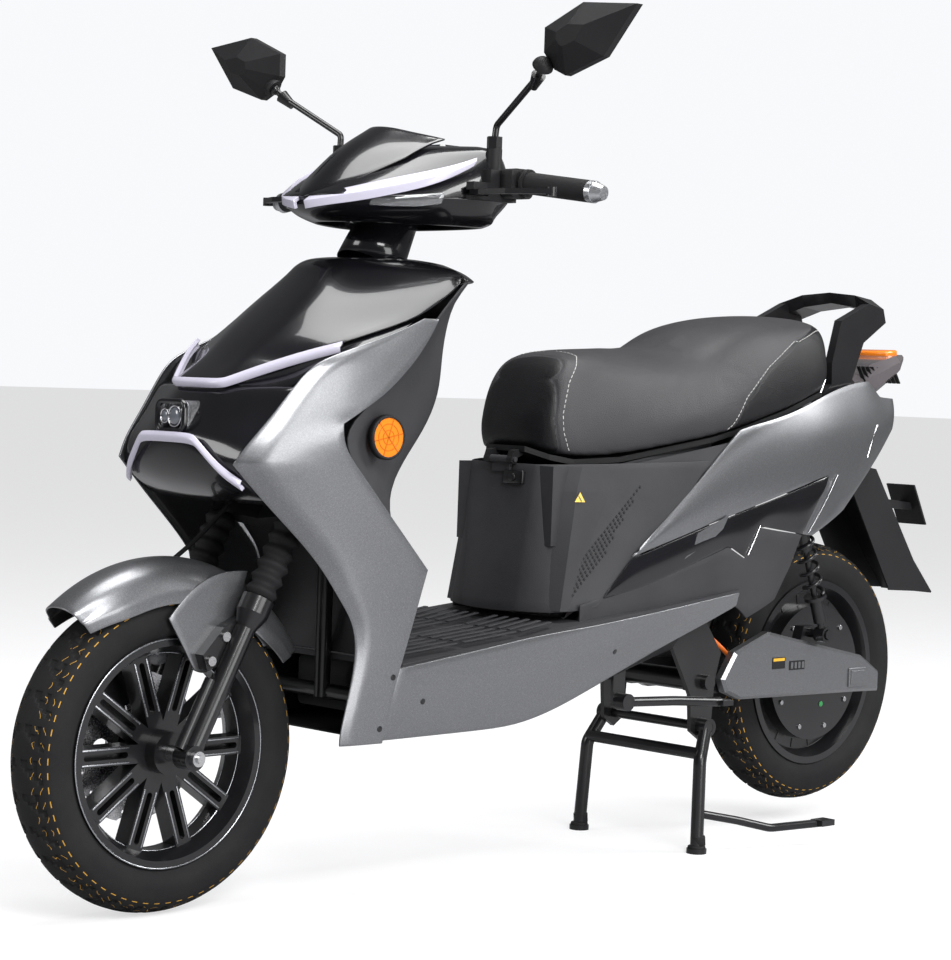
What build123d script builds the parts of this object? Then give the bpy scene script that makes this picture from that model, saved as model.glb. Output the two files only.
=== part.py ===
from build123d import *
from math import atan2, cos, degrees, hypot, radians, sin, tan
import os

os.makedirs("parts", exist_ok=True)

# Electric moped scooter on its centre stand. +X is forward, +Y the rider's left, +Z up.
# The origin is on the ground, at the middle of the length. Millimetres.

# Driving dimensions: wheels and chassis
wheelbase = 1450
front_axle_x = 785
tyre_radius = 233
tyre_half_width = 45
rim_radius = 166
rim_half_width = 38
stand_lift = 39
rake = 28
fork_offset = 28
leg_spacing = 80
running = 0.05
seat_gap = 0.3

# Fork and steering, as distances along the steering axis from the axle's level
slider_radius = 15
fork_tube_radius = 13
cup_radius = 24
cup_low = 226
cup_top = 250
yoke_low = 375
yoke_thick = 22
stem_radius = 15
head_low = 425
head_high = 640
stem_top = 930

# Rear end
pivot_x = -291
pivot_z = 282
shock_y = 123
shock_low = (-580, 352)
shock_high = (-470, 642)

# Stands
stand_pivot = (-285, 207)
side_pivot = (-63, 265)

# Walls, clearances and fasteners
wall = 3
axle_radius = 6
rear_axle_radius = 8
spoke_count = 10
grip_radius = 16.5
bar_radius = 11

rear_axle_x = front_axle_x - wheelbase
front_axle = (front_axle_x, 0, tyre_radius)
rear_axle = (rear_axle_x, 0, tyre_radius + stand_lift)


def outline_plane(x=0, z=0):
    # local x runs along a radius and local y along the axle
    return Plane(origin=(x, 0, z), x_dir=(1, 0, 0), z_dir=(0, 0, 1))


def side_plane(y):
    # local x is forward and local y is up; a positive extrusion runs towards -Y
    return Plane.XZ.offset(-y)


def cross_plane(x):
    # local x is to the left and local y is up
    return Plane(origin=(x, 0, 0), x_dir=(0, 1, 0), z_dir=(1, 0, 0))


def offset_line(points, gap):
    # the points moved sideways by gap, to the left of the way they run
    moved = []
    for i, here in enumerate(points):
        before = points[max(i - 1, 0)]
        after = points[min(i + 1, len(points) - 1)]
        normals = []
        for start, end in ((before, here), (here, after)):
            length = hypot(end[0] - start[0], end[1] - start[1])
            if length > 0:
                normals.append(((start[1] - end[1]) / length, (end[0] - start[0]) / length))
        first, last = normals[0], normals[-1]
        share = gap / (1 + first[0] * last[0] + first[1] * last[1])
        moved.append((here[0] + share * (first[0] + last[0]), here[1] + share * (first[1] + last[1])))
    return moved


def skin(points, thick):
    # a closed outline of a thin wall whose outer face is points
    return list(points) + offset_line(points, thick)[::-1]


def stack(levels):
    # a solid through one closed outline for each height
    with BuildPart() as body:
        for height, outline in levels:
            with BuildSketch(Plane.XY.offset(height)):
                with BuildLine():
                    Polyline(*outline, close=True)
                make_face()
        loft(ruled=True)
    return body.part


def stations(levels):
    # a solid through one closed outline, left and up, for each place along the length
    with BuildPart() as body:
        for place, outline in levels:
            with BuildSketch(cross_plane(place)):
                with BuildLine():
                    Polyline(*outline, close=True)
                make_face()
        loft(ruled=True)
    return body.part


def plate(outline, low, high):
    # a flat plate between two values of y, from an outline forward and up
    with BuildPart() as body:
        with BuildSketch(side_plane(high)):
            with BuildLine():
                Polyline(*outline, close=True)
            make_face()
        extrude(amount=high - low)
    return body.part


def rod(start, end, radius):
    with BuildPart() as body:
        run = Vector(*end) - Vector(*start)
        with BuildSketch(Plane(origin=start, z_dir=run)):
            Circle(radius)
        extrude(amount=run.length)
    return body.part


def cross_rod(x, z, low, high, radius):
    return rod((x, low, z), (x, high, z), radius)


def bent_rod(points, bends, radius):
    with BuildPart() as body:
        with BuildLine() as route:
            FilletPolyline(*points, radius=bends)
        with BuildSketch(Plane(origin=route.line @ 0, z_dir=route.line % 0)):
            Circle(radius)
        sweep(path=route.line)
    return body.part


def both_sides(piece):
    return [piece, piece.mirror(Plane.XZ)]


def full_width(points):
    # the left half of an outline, from the middle out, completed on the right
    right = [(x, -y) for x, y in points[::-1] if y > 0]
    return right + list(points)


# Steering axis: local x forward, local y left, local z up the axis
lean = radians(rake)
steer_origin = (front_axle_x - fork_offset * cos(lean), 0, tyre_radius - fork_offset * sin(lean))
steer = Plane(origin=steer_origin, x_dir=(cos(lean), 0, sin(lean)), z_dir=(-sin(lean), 0, cos(lean)))


def on_steer(a, b, s):
    place = steer.from_local_coords(Vector(a, b, s))
    return (place.X, place.Y, place.Z)


def leg_plane(side):
    # local x is the radius from a fork leg's axis and local y runs up it
    return Plane(origin=on_steer(fork_offset, side * leg_spacing, 0), x_dir=steer.x_dir, z_dir=(0, -1, 0))


# ---- front wheel
wheel_plane = outline_plane(front_axle_x, tyre_radius)
wheel_axis = Axis(front_axle, (0, 1, 0))
bead_radius = 158
side_radius = 205
shoulder_radius = 219


edge = tyre_half_width
with BuildSketch() as tyre_section:
    with BuildLine():
        Polyline((bead_radius, -edge + 11), (bead_radius + 9, -edge + 11), (bead_radius + 20, -edge + 1))
        ThreePointArc((bead_radius + 20, -edge + 1), (side_radius, -edge), (shoulder_radius, -edge + 6))
        ThreePointArc((shoulder_radius, -edge + 6), (tyre_radius, 0), (shoulder_radius, edge - 6))
        ThreePointArc((shoulder_radius, edge - 6), (side_radius, edge), (bead_radius + 20, edge - 1))
        Polyline((bead_radius + 20, edge - 1), (bead_radius + 9, edge - 11), (bead_radius, edge - 11),
                 (bead_radius, edge - 19), (bead_radius + 20, edge - 9), (shoulder_radius - 5, edge - 14),
                 (tyre_radius - 9, 0), (shoulder_radius - 5, -edge + 14), (bead_radius + 20, -edge + 9),
                 (bead_radius, -edge + 19), (bead_radius, -edge + 11))
    make_face()

lip = rim_half_width
rim_seat = bead_radius - seat_gap
rim_bead = tyre_half_width - 11 + seat_gap
with BuildSketch() as rim_section:
    with BuildLine():
        Polyline((rim_radius, -lip), (rim_radius, -rim_bead), (rim_seat, -rim_bead), (rim_seat, -24),
                 (rim_seat - 8, -14), (rim_seat - 8, 14), (rim_seat, 24), (rim_seat, rim_bead),
                 (rim_radius, rim_bead), (rim_radius, lip), (rim_radius - 12, lip), (rim_radius - 24, 14),
                 (rim_radius - 24, -14), (rim_radius - 12, -lip), close=True)
    make_face()


with BuildPart() as front_tyre:
    with BuildSketch(wheel_plane):
        add(tyre_section.sketch)
    revolve(axis=wheel_axis)
front_tyre.part.label = "front_tyre"
export_step(front_tyre.part, "parts/front_tyre.step")

hub_left = 40
hub_right = 48
spoke_low = -14
spoke_high = 18
with BuildPart() as front_rim:
    with BuildSketch(wheel_plane):
        add(rim_section.sketch)
    revolve(axis=wheel_axis)
    with BuildSketch(Plane(origin=(front_axle_x, spoke_high, tyre_radius), x_dir=(1, 0, 0), z_dir=(0, -1, 0))):
        with PolarLocations(86, spoke_count):
            Rectangle(122, 27)
    extrude(amount=spoke_high - spoke_low)
    with BuildSketch(Plane(origin=(front_axle_x, spoke_high, tyre_radius), x_dir=(1, 0, 0), z_dir=(0, -1, 0))):
        with PolarLocations(98, spoke_count):
            SlotOverall(76, 9)
    extrude(amount=18, mode=Mode.SUBTRACT)
    add(cross_rod(front_axle_x, tyre_radius, -hub_right + 12, hub_left, 31))
    add(cross_rod(front_axle_x, tyre_radius, -hub_right, -hub_right + 14, 42))
    add(cross_rod(front_axle_x, tyre_radius, -60, 60, axle_radius + running), mode=Mode.SUBTRACT)
front_rim.part.label = "front_rim"
export_step(front_rim.part, "parts/front_rim.step")

disc_radius = 110
disc_thick = 4
with BuildPart() as front_disc:
    with BuildSketch(Plane(origin=(front_axle_x, -hub_right, tyre_radius), x_dir=(1, 0, 0), z_dir=(0, -1, 0))):
        Circle(disc_radius)
        Circle(24, mode=Mode.SUBTRACT)
        with PolarLocations(60, 6):
            Circle(15, mode=Mode.SUBTRACT)
        with PolarLocations(96, 18):
            Circle(3, mode=Mode.SUBTRACT)
        with PolarLocations(disc_radius + 7, 9):
            Circle(12, mode=Mode.SUBTRACT)
    extrude(amount=disc_thick)
front_disc.part.label = "front_disc"
export_step(front_disc.part, "parts/front_disc.step")

# ---- front fork: the sliders and what they carry
slider_inner = leg_spacing - slider_radius
slider_outer = leg_spacing + slider_radius
rib_offset = 21
fork_lug = (55, 74)
lug_outline = [(694, 428), (724, 414), (760, 376), (752, 354), (728, 360), (702, 392)]
bolt_radius = 4
fender_bolt_places = ((722, 401), (747, 367))
with BuildPart() as fork_sliders:
    for side in (1, -1):
        with BuildSketch(steer.offset(-14)):
            with Locations((fork_offset, side * leg_spacing)):
                Circle(slider_radius)
        extrude(amount=cup_low - 6)
        with BuildSketch(leg_plane(side)):
            with BuildLine():
                Polyline((0, cup_low - 24), (slider_radius, cup_low - 24), (cup_radius, cup_low),
                         (cup_radius, cup_top), (0, cup_top), close=True)
            make_face()
        revolve(axis=Axis(leg_plane(side).origin, steer.z_dir))
        with BuildSketch(steer.offset(4)):
            with Locations((fork_offset + rib_offset, side * leg_spacing)):
                Circle(8)
        extrude(amount=108)
        add(cross_rod(front_axle_x, tyre_radius, side * slider_inner, side * slider_outer, 18))
    add(both_sides(plate(lug_outline, *fork_lug)))
    with BuildSketch(side_plane(-slider_inner + 1.3)):
        with BuildLine():
            Polyline((762, 262), (738, 324), (800, 348), (836, 336), (836, 300), close=True)
        make_face()
    extrude(amount=7)
    for side in (1, -1):
        with BuildSketch(steer.offset(55)):
            with Locations((fork_offset, side * leg_spacing)):
                Circle(fork_tube_radius + running)
        extrude(amount=cup_top, mode=Mode.SUBTRACT)
    for x, z in fender_bolt_places:
        add(cross_rod(x, z, -80, 80, bolt_radius + running), mode=Mode.SUBTRACT)
    add(cross_rod(front_axle_x, tyre_radius, -120, 120, axle_radius + running), mode=Mode.SUBTRACT)
fork_sliders.part.label = "fork_sliders"
export_step(fork_sliders.part, "parts/fork_sliders.step")

fender_radius = 279
fender_half_width = 54.5
bracket_face = slider_inner - 1.3
fender_start = 53
fender_end = 147
fender_side = radians(fender_start)
fender_plane = Plane(origin=front_axle, x_dir=(cos(fender_side), 0, sin(fender_side)),
                     z_dir=(-sin(fender_side), 0, cos(fender_side)))
fender_shape = [(212, -fender_half_width), (246, 1.5 - fender_half_width), (268, -38), (fender_radius, 0),
                (268, 38), (246, fender_half_width - 1.5), (212, fender_half_width)]
bracket_shape = [(806, 432), (700, 498), (652, 486), (722, 352), (745, 344), (756, 352)]
with BuildPart() as front_fender:
    with BuildSketch(fender_plane):
        with BuildLine():
            Polyline(*skin(fender_shape, wall), close=True)
        make_face()
    revolve(axis=Axis(front_axle, (0, -1, 0)), revolution_arc=fender_end - fender_start)
    add(plate(bracket_shape, fender_half_width - wall, fender_half_width))
    add(plate(bracket_shape, -fender_half_width, wall - fender_half_width))
    for x, z in fender_bolt_places:
        add(cross_rod(x, z, -80, 80, bolt_radius + running), mode=Mode.SUBTRACT)
front_fender.part.label = "front_fender"
export_step(front_fender.part, "parts/front_fender.step")

with BuildPart() as fork_fasteners:
    add(cross_rod(*front_axle[::2], -slider_outer - 14, slider_outer + 14, axle_radius))
    add(cross_rod(*front_axle[::2], hub_left + seat_gap, slider_inner - seat_gap, 12))
    add(cross_rod(*front_axle[::2], seat_gap - slider_inner, -hub_right - seat_gap, 12))
    for side in (1, -1):
        add(cross_rod(*front_axle[::2], side * (slider_outer + seat_gap), side * (slider_outer + 9), 11))
        for x, z in fender_bolt_places:
            add(cross_rod(x, z, side * (fork_lug[0] - 6), side * fork_lug[1], bolt_radius))
            add(cross_rod(x, z, side * fork_lug[1], side * (fork_lug[1] + 5), 7))
fork_fasteners.part.label = "fork_fasteners"
export_step(fork_fasteners.part, "parts/fork_fasteners.step")

caliper_angle = radians(66)
caliper_middle = 92
caliper_x = front_axle_x + caliper_middle * cos(caliper_angle)
caliper_z = tyre_radius + caliper_middle * sin(caliper_angle)
caliper_plane = Plane(
    origin=(caliper_x, -bracket_face, caliper_z),
    x_dir=(cos(caliper_angle), 0, sin(caliper_angle)), z_dir=(0, 1, 0))
with BuildPart() as front_caliper:
    with BuildSketch(caliper_plane):
        RectangleRounded(50, 70, 10)
    extrude(amount=26)
    add(cross_rod(front_axle_x, tyre_radius, -hub_right - disc_thick - 1, -hub_right + 1, disc_radius + 2.5),
        mode=Mode.SUBTRACT)
front_caliper.part.label = "front_caliper"
export_step(front_caliper.part, "parts/front_caliper.step")

# ---- steering
with BuildPart() as steering_yoke:
    with BuildSketch(steer.offset(yoke_low)):
        Circle(26)
        Polygon((-14, 0), (fork_offset - 18, leg_spacing), (fork_offset + 18, leg_spacing), (fork_offset, 0),
                (fork_offset + 18, -leg_spacing), (fork_offset - 18, -leg_spacing), align=None)
        with Locations((fork_offset, leg_spacing), (fork_offset, -leg_spacing)):
            Circle(21)
    extrude(amount=yoke_thick)
    with BuildSketch(steer.offset(130)):
        with Locations((fork_offset, leg_spacing), (fork_offset, -leg_spacing)):
            Circle(fork_tube_radius)
    extrude(amount=yoke_low + yoke_thick + 12 - 130)
    with BuildSketch(steer.offset(yoke_low)):
        Circle(stem_radius)
    extrude(amount=stem_top - yoke_low)
steering_yoke.part.label = "steering_yoke"
export_step(steering_yoke.part, "parts/steering_yoke.step")

bellows = 6
bellow_pitch = (yoke_low - cup_top - 2 * seat_gap) / bellows
gaiter_low = cup_top + seat_gap
with BuildPart() as fork_gaiters:
    for side in (1, -1):
        with BuildSketch(leg_plane(side)):
            with BuildLine():
                folds = [(fork_tube_radius + 1.5, gaiter_low)]
                for i in range(bellows):
                    folds.append((18, gaiter_low + bellow_pitch * i))
                    folds.append((24.5, gaiter_low + bellow_pitch * (i + 0.5)))
                folds.append((18, gaiter_low + bellow_pitch * bellows))
                folds.append((fork_tube_radius + 1.5, gaiter_low + bellow_pitch * bellows))
                Polyline(*folds, close=True)
            make_face()
        revolve(axis=Axis(leg_plane(side).origin, steer.z_dir))
fork_gaiters.part.label = "fork_gaiters"
export_step(fork_gaiters.part, "parts/fork_gaiters.step")

# Handlebar: the grips lie on the last straight run of each end
grip_root = Vector(300, 215, 1076)
grip_way = Vector(-15, 137, -17).normalized()
grip_start = 12
grip_end = 132
bar_points = [tuple(grip_root + grip_way * grip_end), tuple(grip_root), (308, 120, 1086), (313, 55, 1066)]
bar_points = bar_points + [(x, -y, z) for x, y, z in bar_points[::-1]]
bar_bends = [30, 30, 30, 30, 30, 30]


def bar_piece(side, start, end, outer, inner, taper=0):
    # a ring or plug round the end of the bar, between two distances along the grip
    root = Vector(grip_root.X, side * grip_root.Y, grip_root.Z)
    way = Vector(grip_way.X, side * grip_way.Y, grip_way.Z)
    with BuildPart() as body:
        with BuildSketch(Plane(origin=root + way * start, z_dir=way)):
            Circle(outer)
            if inner > 0:
                Circle(inner, mode=Mode.SUBTRACT)
        extrude(amount=end - start, taper=taper)
    return body.part


bar = bent_rod(bar_points, bar_bends, bar_radius)
bar_room = bent_rod(bar_points, bar_bends, bar_radius + running)
bar_hollow = bent_rod(bar_points, bar_bends, bar_radius - 2)
with BuildPart() as handlebar:
    add(bar)
    with BuildSketch(steer.offset(stem_top)):
        Circle(20)
    extrude(amount=30)
    add(bar_hollow, mode=Mode.SUBTRACT)
handlebar.part.label = "handlebar"
export_step(handlebar.part, "parts/handlebar.step")

with BuildPart() as left_grip:
    add(bar_piece(1, grip_start, grip_end, grip_radius, bar_radius + running))
    add(bar_piece(1, grip_start, grip_start + 5, grip_radius + 4, bar_radius + running))
left_grip.part.label = "left_grip"
export_step(left_grip.part, "parts/left_grip.step")

with BuildPart() as throttle_grip:
    add(bar_piece(-1, grip_start, grip_end, grip_radius, bar_radius + running))
    add(bar_piece(-1, grip_start, grip_start + 5, grip_radius + 4, bar_radius + running))
throttle_grip.part.label = "throttle_grip"
export_step(throttle_grip.part, "parts/throttle_grip.step")

with BuildPart() as bar_ends:
    for side in (1, -1):
        add(bar_piece(side, grip_end + seat_gap, grip_end + 10, grip_radius, 0))
        add(bar_piece(side, grip_end + 10, grip_end + 26, grip_radius - 1, 0, taper=18))
bar_ends.part.label = "bar_ends"
export_step(bar_ends.part, "parts/bar_ends.step")

# Hand controls: lever perch with the mirror boss, and switch housing beside the grip
lever_pivot = (366, 188)
lever_low = 1052
lever_high = 1060
pin_radius = 4
mirror_base = (319, 176, 1137)
switch_y = (199, 222)
housing_rear = 280
button_radius = 7
button_height = 1082
turn_height = 1064
with BuildPart() as hand_controls:
    with BuildSketch(Plane.XY.offset(1046)):
        with BuildLine():
            Polyline((289, 166), (289, 196), (352, 198), (378, 196), (378, 180), (350, 172), (330, 164), close=True)
        make_face()
    extrude(amount=46)
    with BuildSketch(Plane.XY.offset(lever_low - 0.5)):
        with BuildLine():
            Polyline((350, 150), (350, 206), (400, 206), (400, 150), close=True)
        make_face()
    extrude(amount=lever_high - lever_low + 1, mode=Mode.SUBTRACT)
    with BuildSketch(Plane.XY.offset(lever_high + 12)):
        with BuildLine():
            Polyline((345, 150), (345, 210), (400, 210), (400, 150), close=True)
        make_face()
    extrude(amount=40, mode=Mode.SUBTRACT)
    with BuildSketch(Plane.XY.offset(1048)):
        with Locations(lever_pivot):
            Circle(pin_radius)
    extrude(amount=22)
    with BuildSketch(Plane.XY.offset(1090)):
        with Locations(mirror_base[:2]):
            Circle(12)
    extrude(amount=mirror_base[2] - 12 - 1090)
    with BuildSketch(Plane(origin=(0, switch_y[1], 0), x_dir=(1, 0, 0), z_dir=(0, -1, 0))):
        with Locations((303, 1073)):
            RectangleRounded(46, 44, 10)
    extrude(amount=switch_y[1] - switch_y[0])
    with BuildSketch(Plane(origin=(housing_rear - 5, 0, 0), x_dir=(0, 1, 0), z_dir=(1, 0, 0))):
        with Locations((210, button_height)):
            Circle(button_radius + seat_gap)
        with Locations((210, turn_height)):
            Rectangle(19, 9.2)
    extrude(amount=13, mode=Mode.SUBTRACT)
    add(bar_room, mode=Mode.SUBTRACT)
    mirror(about=Plane.XZ)
hand_controls.part.label = "hand_controls"
export_step(hand_controls.part, "parts/hand_controls.step")


def rear_button(side, low, high):
    with BuildPart() as body:
        with BuildSketch(Plane(origin=(low, 0, 0), x_dir=(0, 1, 0), z_dir=(1, 0, 0))):
            with Locations((side * 210, button_height)):
                Circle(button_radius)
        extrude(amount=high - low)
    return body.part


with BuildPart() as horn_button:
    add(rear_button(1, housing_rear - 4, housing_rear + 4.7))
horn_button.part.label = "horn_button"
export_step(horn_button.part, "parts/horn_button.step")

with BuildPart() as start_button:
    add(rear_button(-1, housing_rear - 4, housing_rear + 4.7))
start_button.part.label = "start_button"
export_step(start_button.part, "parts/start_button.step")

with BuildPart() as turn_switch:
    with BuildSketch(Plane(origin=(housing_rear - 6, 0, 0), x_dir=(0, 1, 0), z_dir=(1, 0, 0))):
        with Locations((210, turn_height)):
            Rectangle(10, 8.6)
    extrude(amount=13.7)
turn_switch.part.label = "turn_switch"
export_step(turn_switch.part, "parts/turn_switch.step")

lever_line = [(358, 196), (374, 214), (371, 262), (352, 308), (341, 322), (349, 328), (363, 311),
              (382, 266), (386, 214), (377, 186), (366, 179), (357, 186)]
for side, name in ((1, "brake_lever_left"), (-1, "brake_lever_right")):
    with BuildPart() as brake_lever:
        with BuildSketch(Plane.XY.offset(lever_low)):
            with BuildLine():
                Polyline(*[(x, side * y) for x, y in lever_line], close=True)
            make_face()
        extrude(amount=lever_high - lever_low)
        with Locations((343, side * 323, (lever_low + lever_high) / 2)):
            Cylinder(8, 13)
        with BuildSketch(Plane.XY.offset(lever_low - 5)):
            with Locations((lever_pivot[0], side * lever_pivot[1])):
                Circle(pin_radius + running)
        extrude(amount=30, mode=Mode.SUBTRACT)
    brake_lever.part.label = name
    export_step(brake_lever.part, "parts/" + name + ".step")

# Mirrors: a bent stem with a ball at its end, and a head that tilts on the ball
stem_wire = 5
ball_place = Vector(352, 304, 1236)
ball_radius = 9
stem_points = [mirror_base, (317, 177, 1160), (346, 290, 1224), tuple(ball_place)]
stem_top_way = (ball_place - Vector(346, 290, 1224)).normalized()
mirror_stem = bent_rod(stem_points, [10, 8], stem_wire)
with BuildPart() as mirror_stems:
    add(mirror_stem)
    with BuildSketch(Plane.XY.offset(mirror_base[2] - 12 + seat_gap)):
        with Locations(mirror_base[:2]):
            RegularPolygon(12, 6)
    extrude(amount=18)
    with Locations(ball_place):
        Sphere(ball_radius)
    with BuildSketch(Plane(origin=ball_place - stem_top_way * 17, z_dir=stem_top_way * -1)):
        Circle(11)
    extrude(amount=26, taper=10)
    mirror(about=Plane.XZ)
mirror_stems.part.label = "mirror_stems"
export_step(mirror_stems.part, "parts/mirror_stems.step")

mirror_rear = 334
mirror_front = 376
mirror_outline = [(300, 1294), (376, 1325), (481, 1315), (420, 1245), (345, 1222), (322, 1232), (300, 1258)]


def outline_towards(points, share, middle=(375, 1275)):
    return [(middle[0] + share * (y - middle[0]), middle[1] + share * (z - middle[1])) for y, z in points]


mirror_shell = stations([(mirror_rear, mirror_outline), (mirror_rear + 12, mirror_outline),
                         (mirror_front, outline_towards(mirror_outline, 0.3))])
with BuildPart() as mirror_cup:
    with Locations(ball_place):
        Sphere(ball_radius + 7)
    with BuildSketch(Plane(origin=ball_place, z_dir=stem_top_way * -1).offset(-1)):
        Circle(40)
    extrude(amount=40, mode=Mode.SUBTRACT)
mirror_ball_room = Pos(*ball_place) * Sphere(ball_radius + seat_gap)
glass_share = 0.93
for side, head_name, glass_name in ((1, "mirror_head_left", "mirror_glass_left"),
                                    (-1, "mirror_head_right", "mirror_glass_right")):
    pocket = stations([(mirror_rear - 2, outline_towards(mirror_outline, glass_share)),
                       (mirror_rear + 4, outline_towards(mirror_outline, glass_share))])
    pane = stations([(mirror_rear + 0.5, outline_towards(mirror_outline, glass_share - 0.005)),
                     (mirror_rear + 4, outline_towards(mirror_outline, glass_share - 0.005))])
    with BuildPart() as mirror_head:
        add(mirror_shell)
        add(mirror_cup.part)
        add(pocket, mode=Mode.SUBTRACT)
        add(mirror_ball_room, mode=Mode.SUBTRACT)
    with BuildPart() as mirror_glass:
        add(pane)
    head = mirror_head.part if side > 0 else mirror_head.part.mirror(Plane.XZ)
    glass = mirror_glass.part if side > 0 else mirror_glass.part.mirror(Plane.XZ)
    head.label = head_name
    glass.label = glass_name
    export_step(head, "parts/" + head_name + ".step")
    export_step(glass, "parts/" + glass_name + ".step")

# ---- headset: cover, visor, lamps and dash


def ring(half, grow=0.0):
    # a closed outline from its left half, which starts and ends on the middle line
    front, rear = half[0], half[-1]
    line = [(front[0], -1)] + list(half[1:-1]) + [(rear[0], -1)]
    line = offset_line(line, -grow)
    left = [(line[0][0], 0)] + line[1:-1] + [(line[-1][0], 0)]
    return left + [(x, -y) for x, y in left[-2:0:-1]]


cover_levels = [
    (1015, [(530, 0), (512, 52), (445, 105), (350, 152), (290, 160), (262, 110), (258, 0)]),
    (1046, [(546, 0), (534, 62), (505, 100), (428, 150), (335, 190), (250, 175), (238, 0)]),
    (1085, [(478, 0), (474, 48), (452, 92), (398, 142), (330, 188), (248, 172), (238, 0)]),
    (1128, [(415, 0), (410, 35), (390, 75), (360, 120), (325, 168), (262, 155), (248, 0)]),
]
neck_low = 803
neck_radius = 51
neck_taper = -6
bar_window = (1040, 1096)


def cover_body(grow, sink=0.0):
    last = len(cover_levels) - 1
    return stack([(z + (sink if i == 0 else -sink if i == last else 0), ring(half, grow))
                  for i, (z, half) in enumerate(cover_levels)])


cover_outer = cover_body(0)
cover_inner = cover_body(-wall, wall)
cover_room = cover_body(seat_gap, -seat_gap)
lamp_outer = cover_body(6)
with BuildPart() as neck_hollow:
    with BuildSketch(steer.offset(neck_low)):
        Circle(neck_radius - wall)
    extrude(amount=140, taper=neck_taper)
with BuildPart() as handlebar_cover:
    add(cover_outer)
    with BuildSketch(steer.offset(neck_low)):
        Circle(neck_radius)
    extrude(amount=105, taper=neck_taper)
    add(cover_inner, mode=Mode.SUBTRACT)
    add(neck_hollow.part, mode=Mode.SUBTRACT)
    with Locations((310, 0, sum(bar_window) / 2)):
        Box(136, 500, bar_window[1] - bar_window[0], mode=Mode.SUBTRACT)
    for side in (1, -1):
        with BuildSketch(Plane.XY.offset(1080)):
            with Locations((mirror_base[0], side * mirror_base[1])):
                Circle(17)
        extrude(amount=80, mode=Mode.SUBTRACT)
handlebar_cover.part.label = "handlebar_cover"
export_step(handlebar_cover.part, "parts/handlebar_cover.step")


def slices(levels):
    # a solid through one closed outline, forward and up, for each value of y
    with BuildPart() as body:
        for place, outline in levels:
            with BuildSketch(side_plane(place)):
                with BuildLine():
                    Polyline(*outline, close=True)
                make_face()
        loft(ruled=True)
    return body.part


visor_lines = [(0, [(548, 1040), (482, 1108), (408, 1161)]),
               (50, [(508, 1062), (446, 1118), (380, 1151)]),
               (98, [(410, 1112), (378, 1131), (345, 1142)])]
visor_half = slices([(y, skin(line, wall)) for y, line in visor_lines])
with BuildPart() as visor_screen:
    add(visor_half)
    mirror(about=Plane.XZ)
    add(cover_room, mode=Mode.SUBTRACT)
visor_screen.part.label = "visor_screen"
export_step(visor_screen.part, "parts/visor_screen.step")

strip_shape = [(552, 1024), (552, 1036), (508, 1050), (470, 1064), (356, 1112), (350, 1104), (400, 1072), (470, 1052)]
signal_shape = [(500, 1030), (462, 1047), (408, 1058), (404, 1044), (440, 1030)]
strip_room = plate(strip_shape, 9, 230)
signal_room = plate(signal_shape, 60, 230)
with BuildPart() as head_lamps:
    add(lamp_outer)
    add(cover_room, mode=Mode.SUBTRACT)
    add(strip_room.fuse(signal_room), mode=Mode.INTERSECT)
    mirror(about=Plane.XZ)
head_lamps.part.label = "head_lamps"
export_step(head_lamps.part, "parts/head_lamps.step")

with BuildPart() as dash_display:
    with BuildSketch(Plane.XY.offset(cover_levels[-1][0] + seat_gap)):
        with Locations((290, 0)):
            RectangleRounded(54, 118, 12)
    extrude(amount=9)
    chamfer(dash_display.faces().sort_by(Axis.Z)[-1].edges(), 3)
dash_display.part.label = "dash_display"
export_step(dash_display.part, "parts/dash_display.step")

# ---- front body shells, as outlines at each height from the middle to the left edge
hood_lines = [
    (768, [(727, 0), (724, 46), (721, 54), (716, 62)]),
    (800, [(686, 0), (680, 45), (655, 82), (632, 118)]),
    (830, [(652, 0), (646, 48), (618, 108), (588, 160)]),
    (862, [(615, 0), (608, 50), (566, 122), (482, 192)]),
    (895, [(577, 0), (569, 50), (520, 125), (430, 194)]),
    (926, [(541, 0), (532, 46), (470, 120), (383, 194)]),
]
hood_top = 956
hood_rim = [(541, 0), (532, 46), (470, 120), (383, 194), (362, 190), (300, 100), (285, 0)]
hood_crown = [(505, 0), (498, 40), (452, 82), (398, 108), (338, 100), (290, 62), (276, 0)]
neck_clearance = 7
hood_front = stack([(z, skin(full_width(half), wall)) for z, half in hood_lines])
hood_cap = stack([(hood_lines[-1][0], ring(hood_rim)), (hood_top, ring(hood_crown))])
hood_cap_inner = stack([(hood_lines[-1][0] - 1, ring(hood_rim, -wall)), (hood_top - wall, ring(hood_crown, -wall))])
with BuildPart() as hood_cover:
    add(hood_cap)
    add(hood_cap_inner, mode=Mode.SUBTRACT)
    add(hood_front)
    with BuildSketch(steer.offset(neck_low - 120)):
        Circle(neck_radius + neck_clearance)
    extrude(amount=300, mode=Mode.SUBTRACT)
hood_cover.part.label = "hood_cover"
export_step(hood_cover.part, "parts/hood_cover.step")

nose_lines = [
    (596, [(712, 0), (710, 62), (706, 139)]),
    (619, [(756, 0), (754, 66), (738, 137)]),
    (652, [(774, 0), (771, 64), (763, 134.5)]),
    (684, [(776, 0), (771, 58), (740, 143)]),
    (725, [(751, 0), (747, 55), (704, 151)]),
    (757, [(730, 0), (726, 52), (680, 158)]),
]
headlight_size = (64, 46)
headlight_place = (0, 713)
nose_skin = stack([(z, skin(full_width(half), wall)) for z, half in nose_lines])
with BuildPart() as nose_cover:
    add(nose_skin)
    with BuildSketch(cross_plane(600)):
        with Locations(headlight_place):
            RectangleRounded(headlight_size[0] + 2 * seat_gap, headlight_size[1] + 2 * seat_gap, 10)
    extrude(amount=250, mode=Mode.SUBTRACT)
nose_cover.part.label = "nose_cover"
export_step(nose_cover.part, "parts/nose_cover.step")

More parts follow.
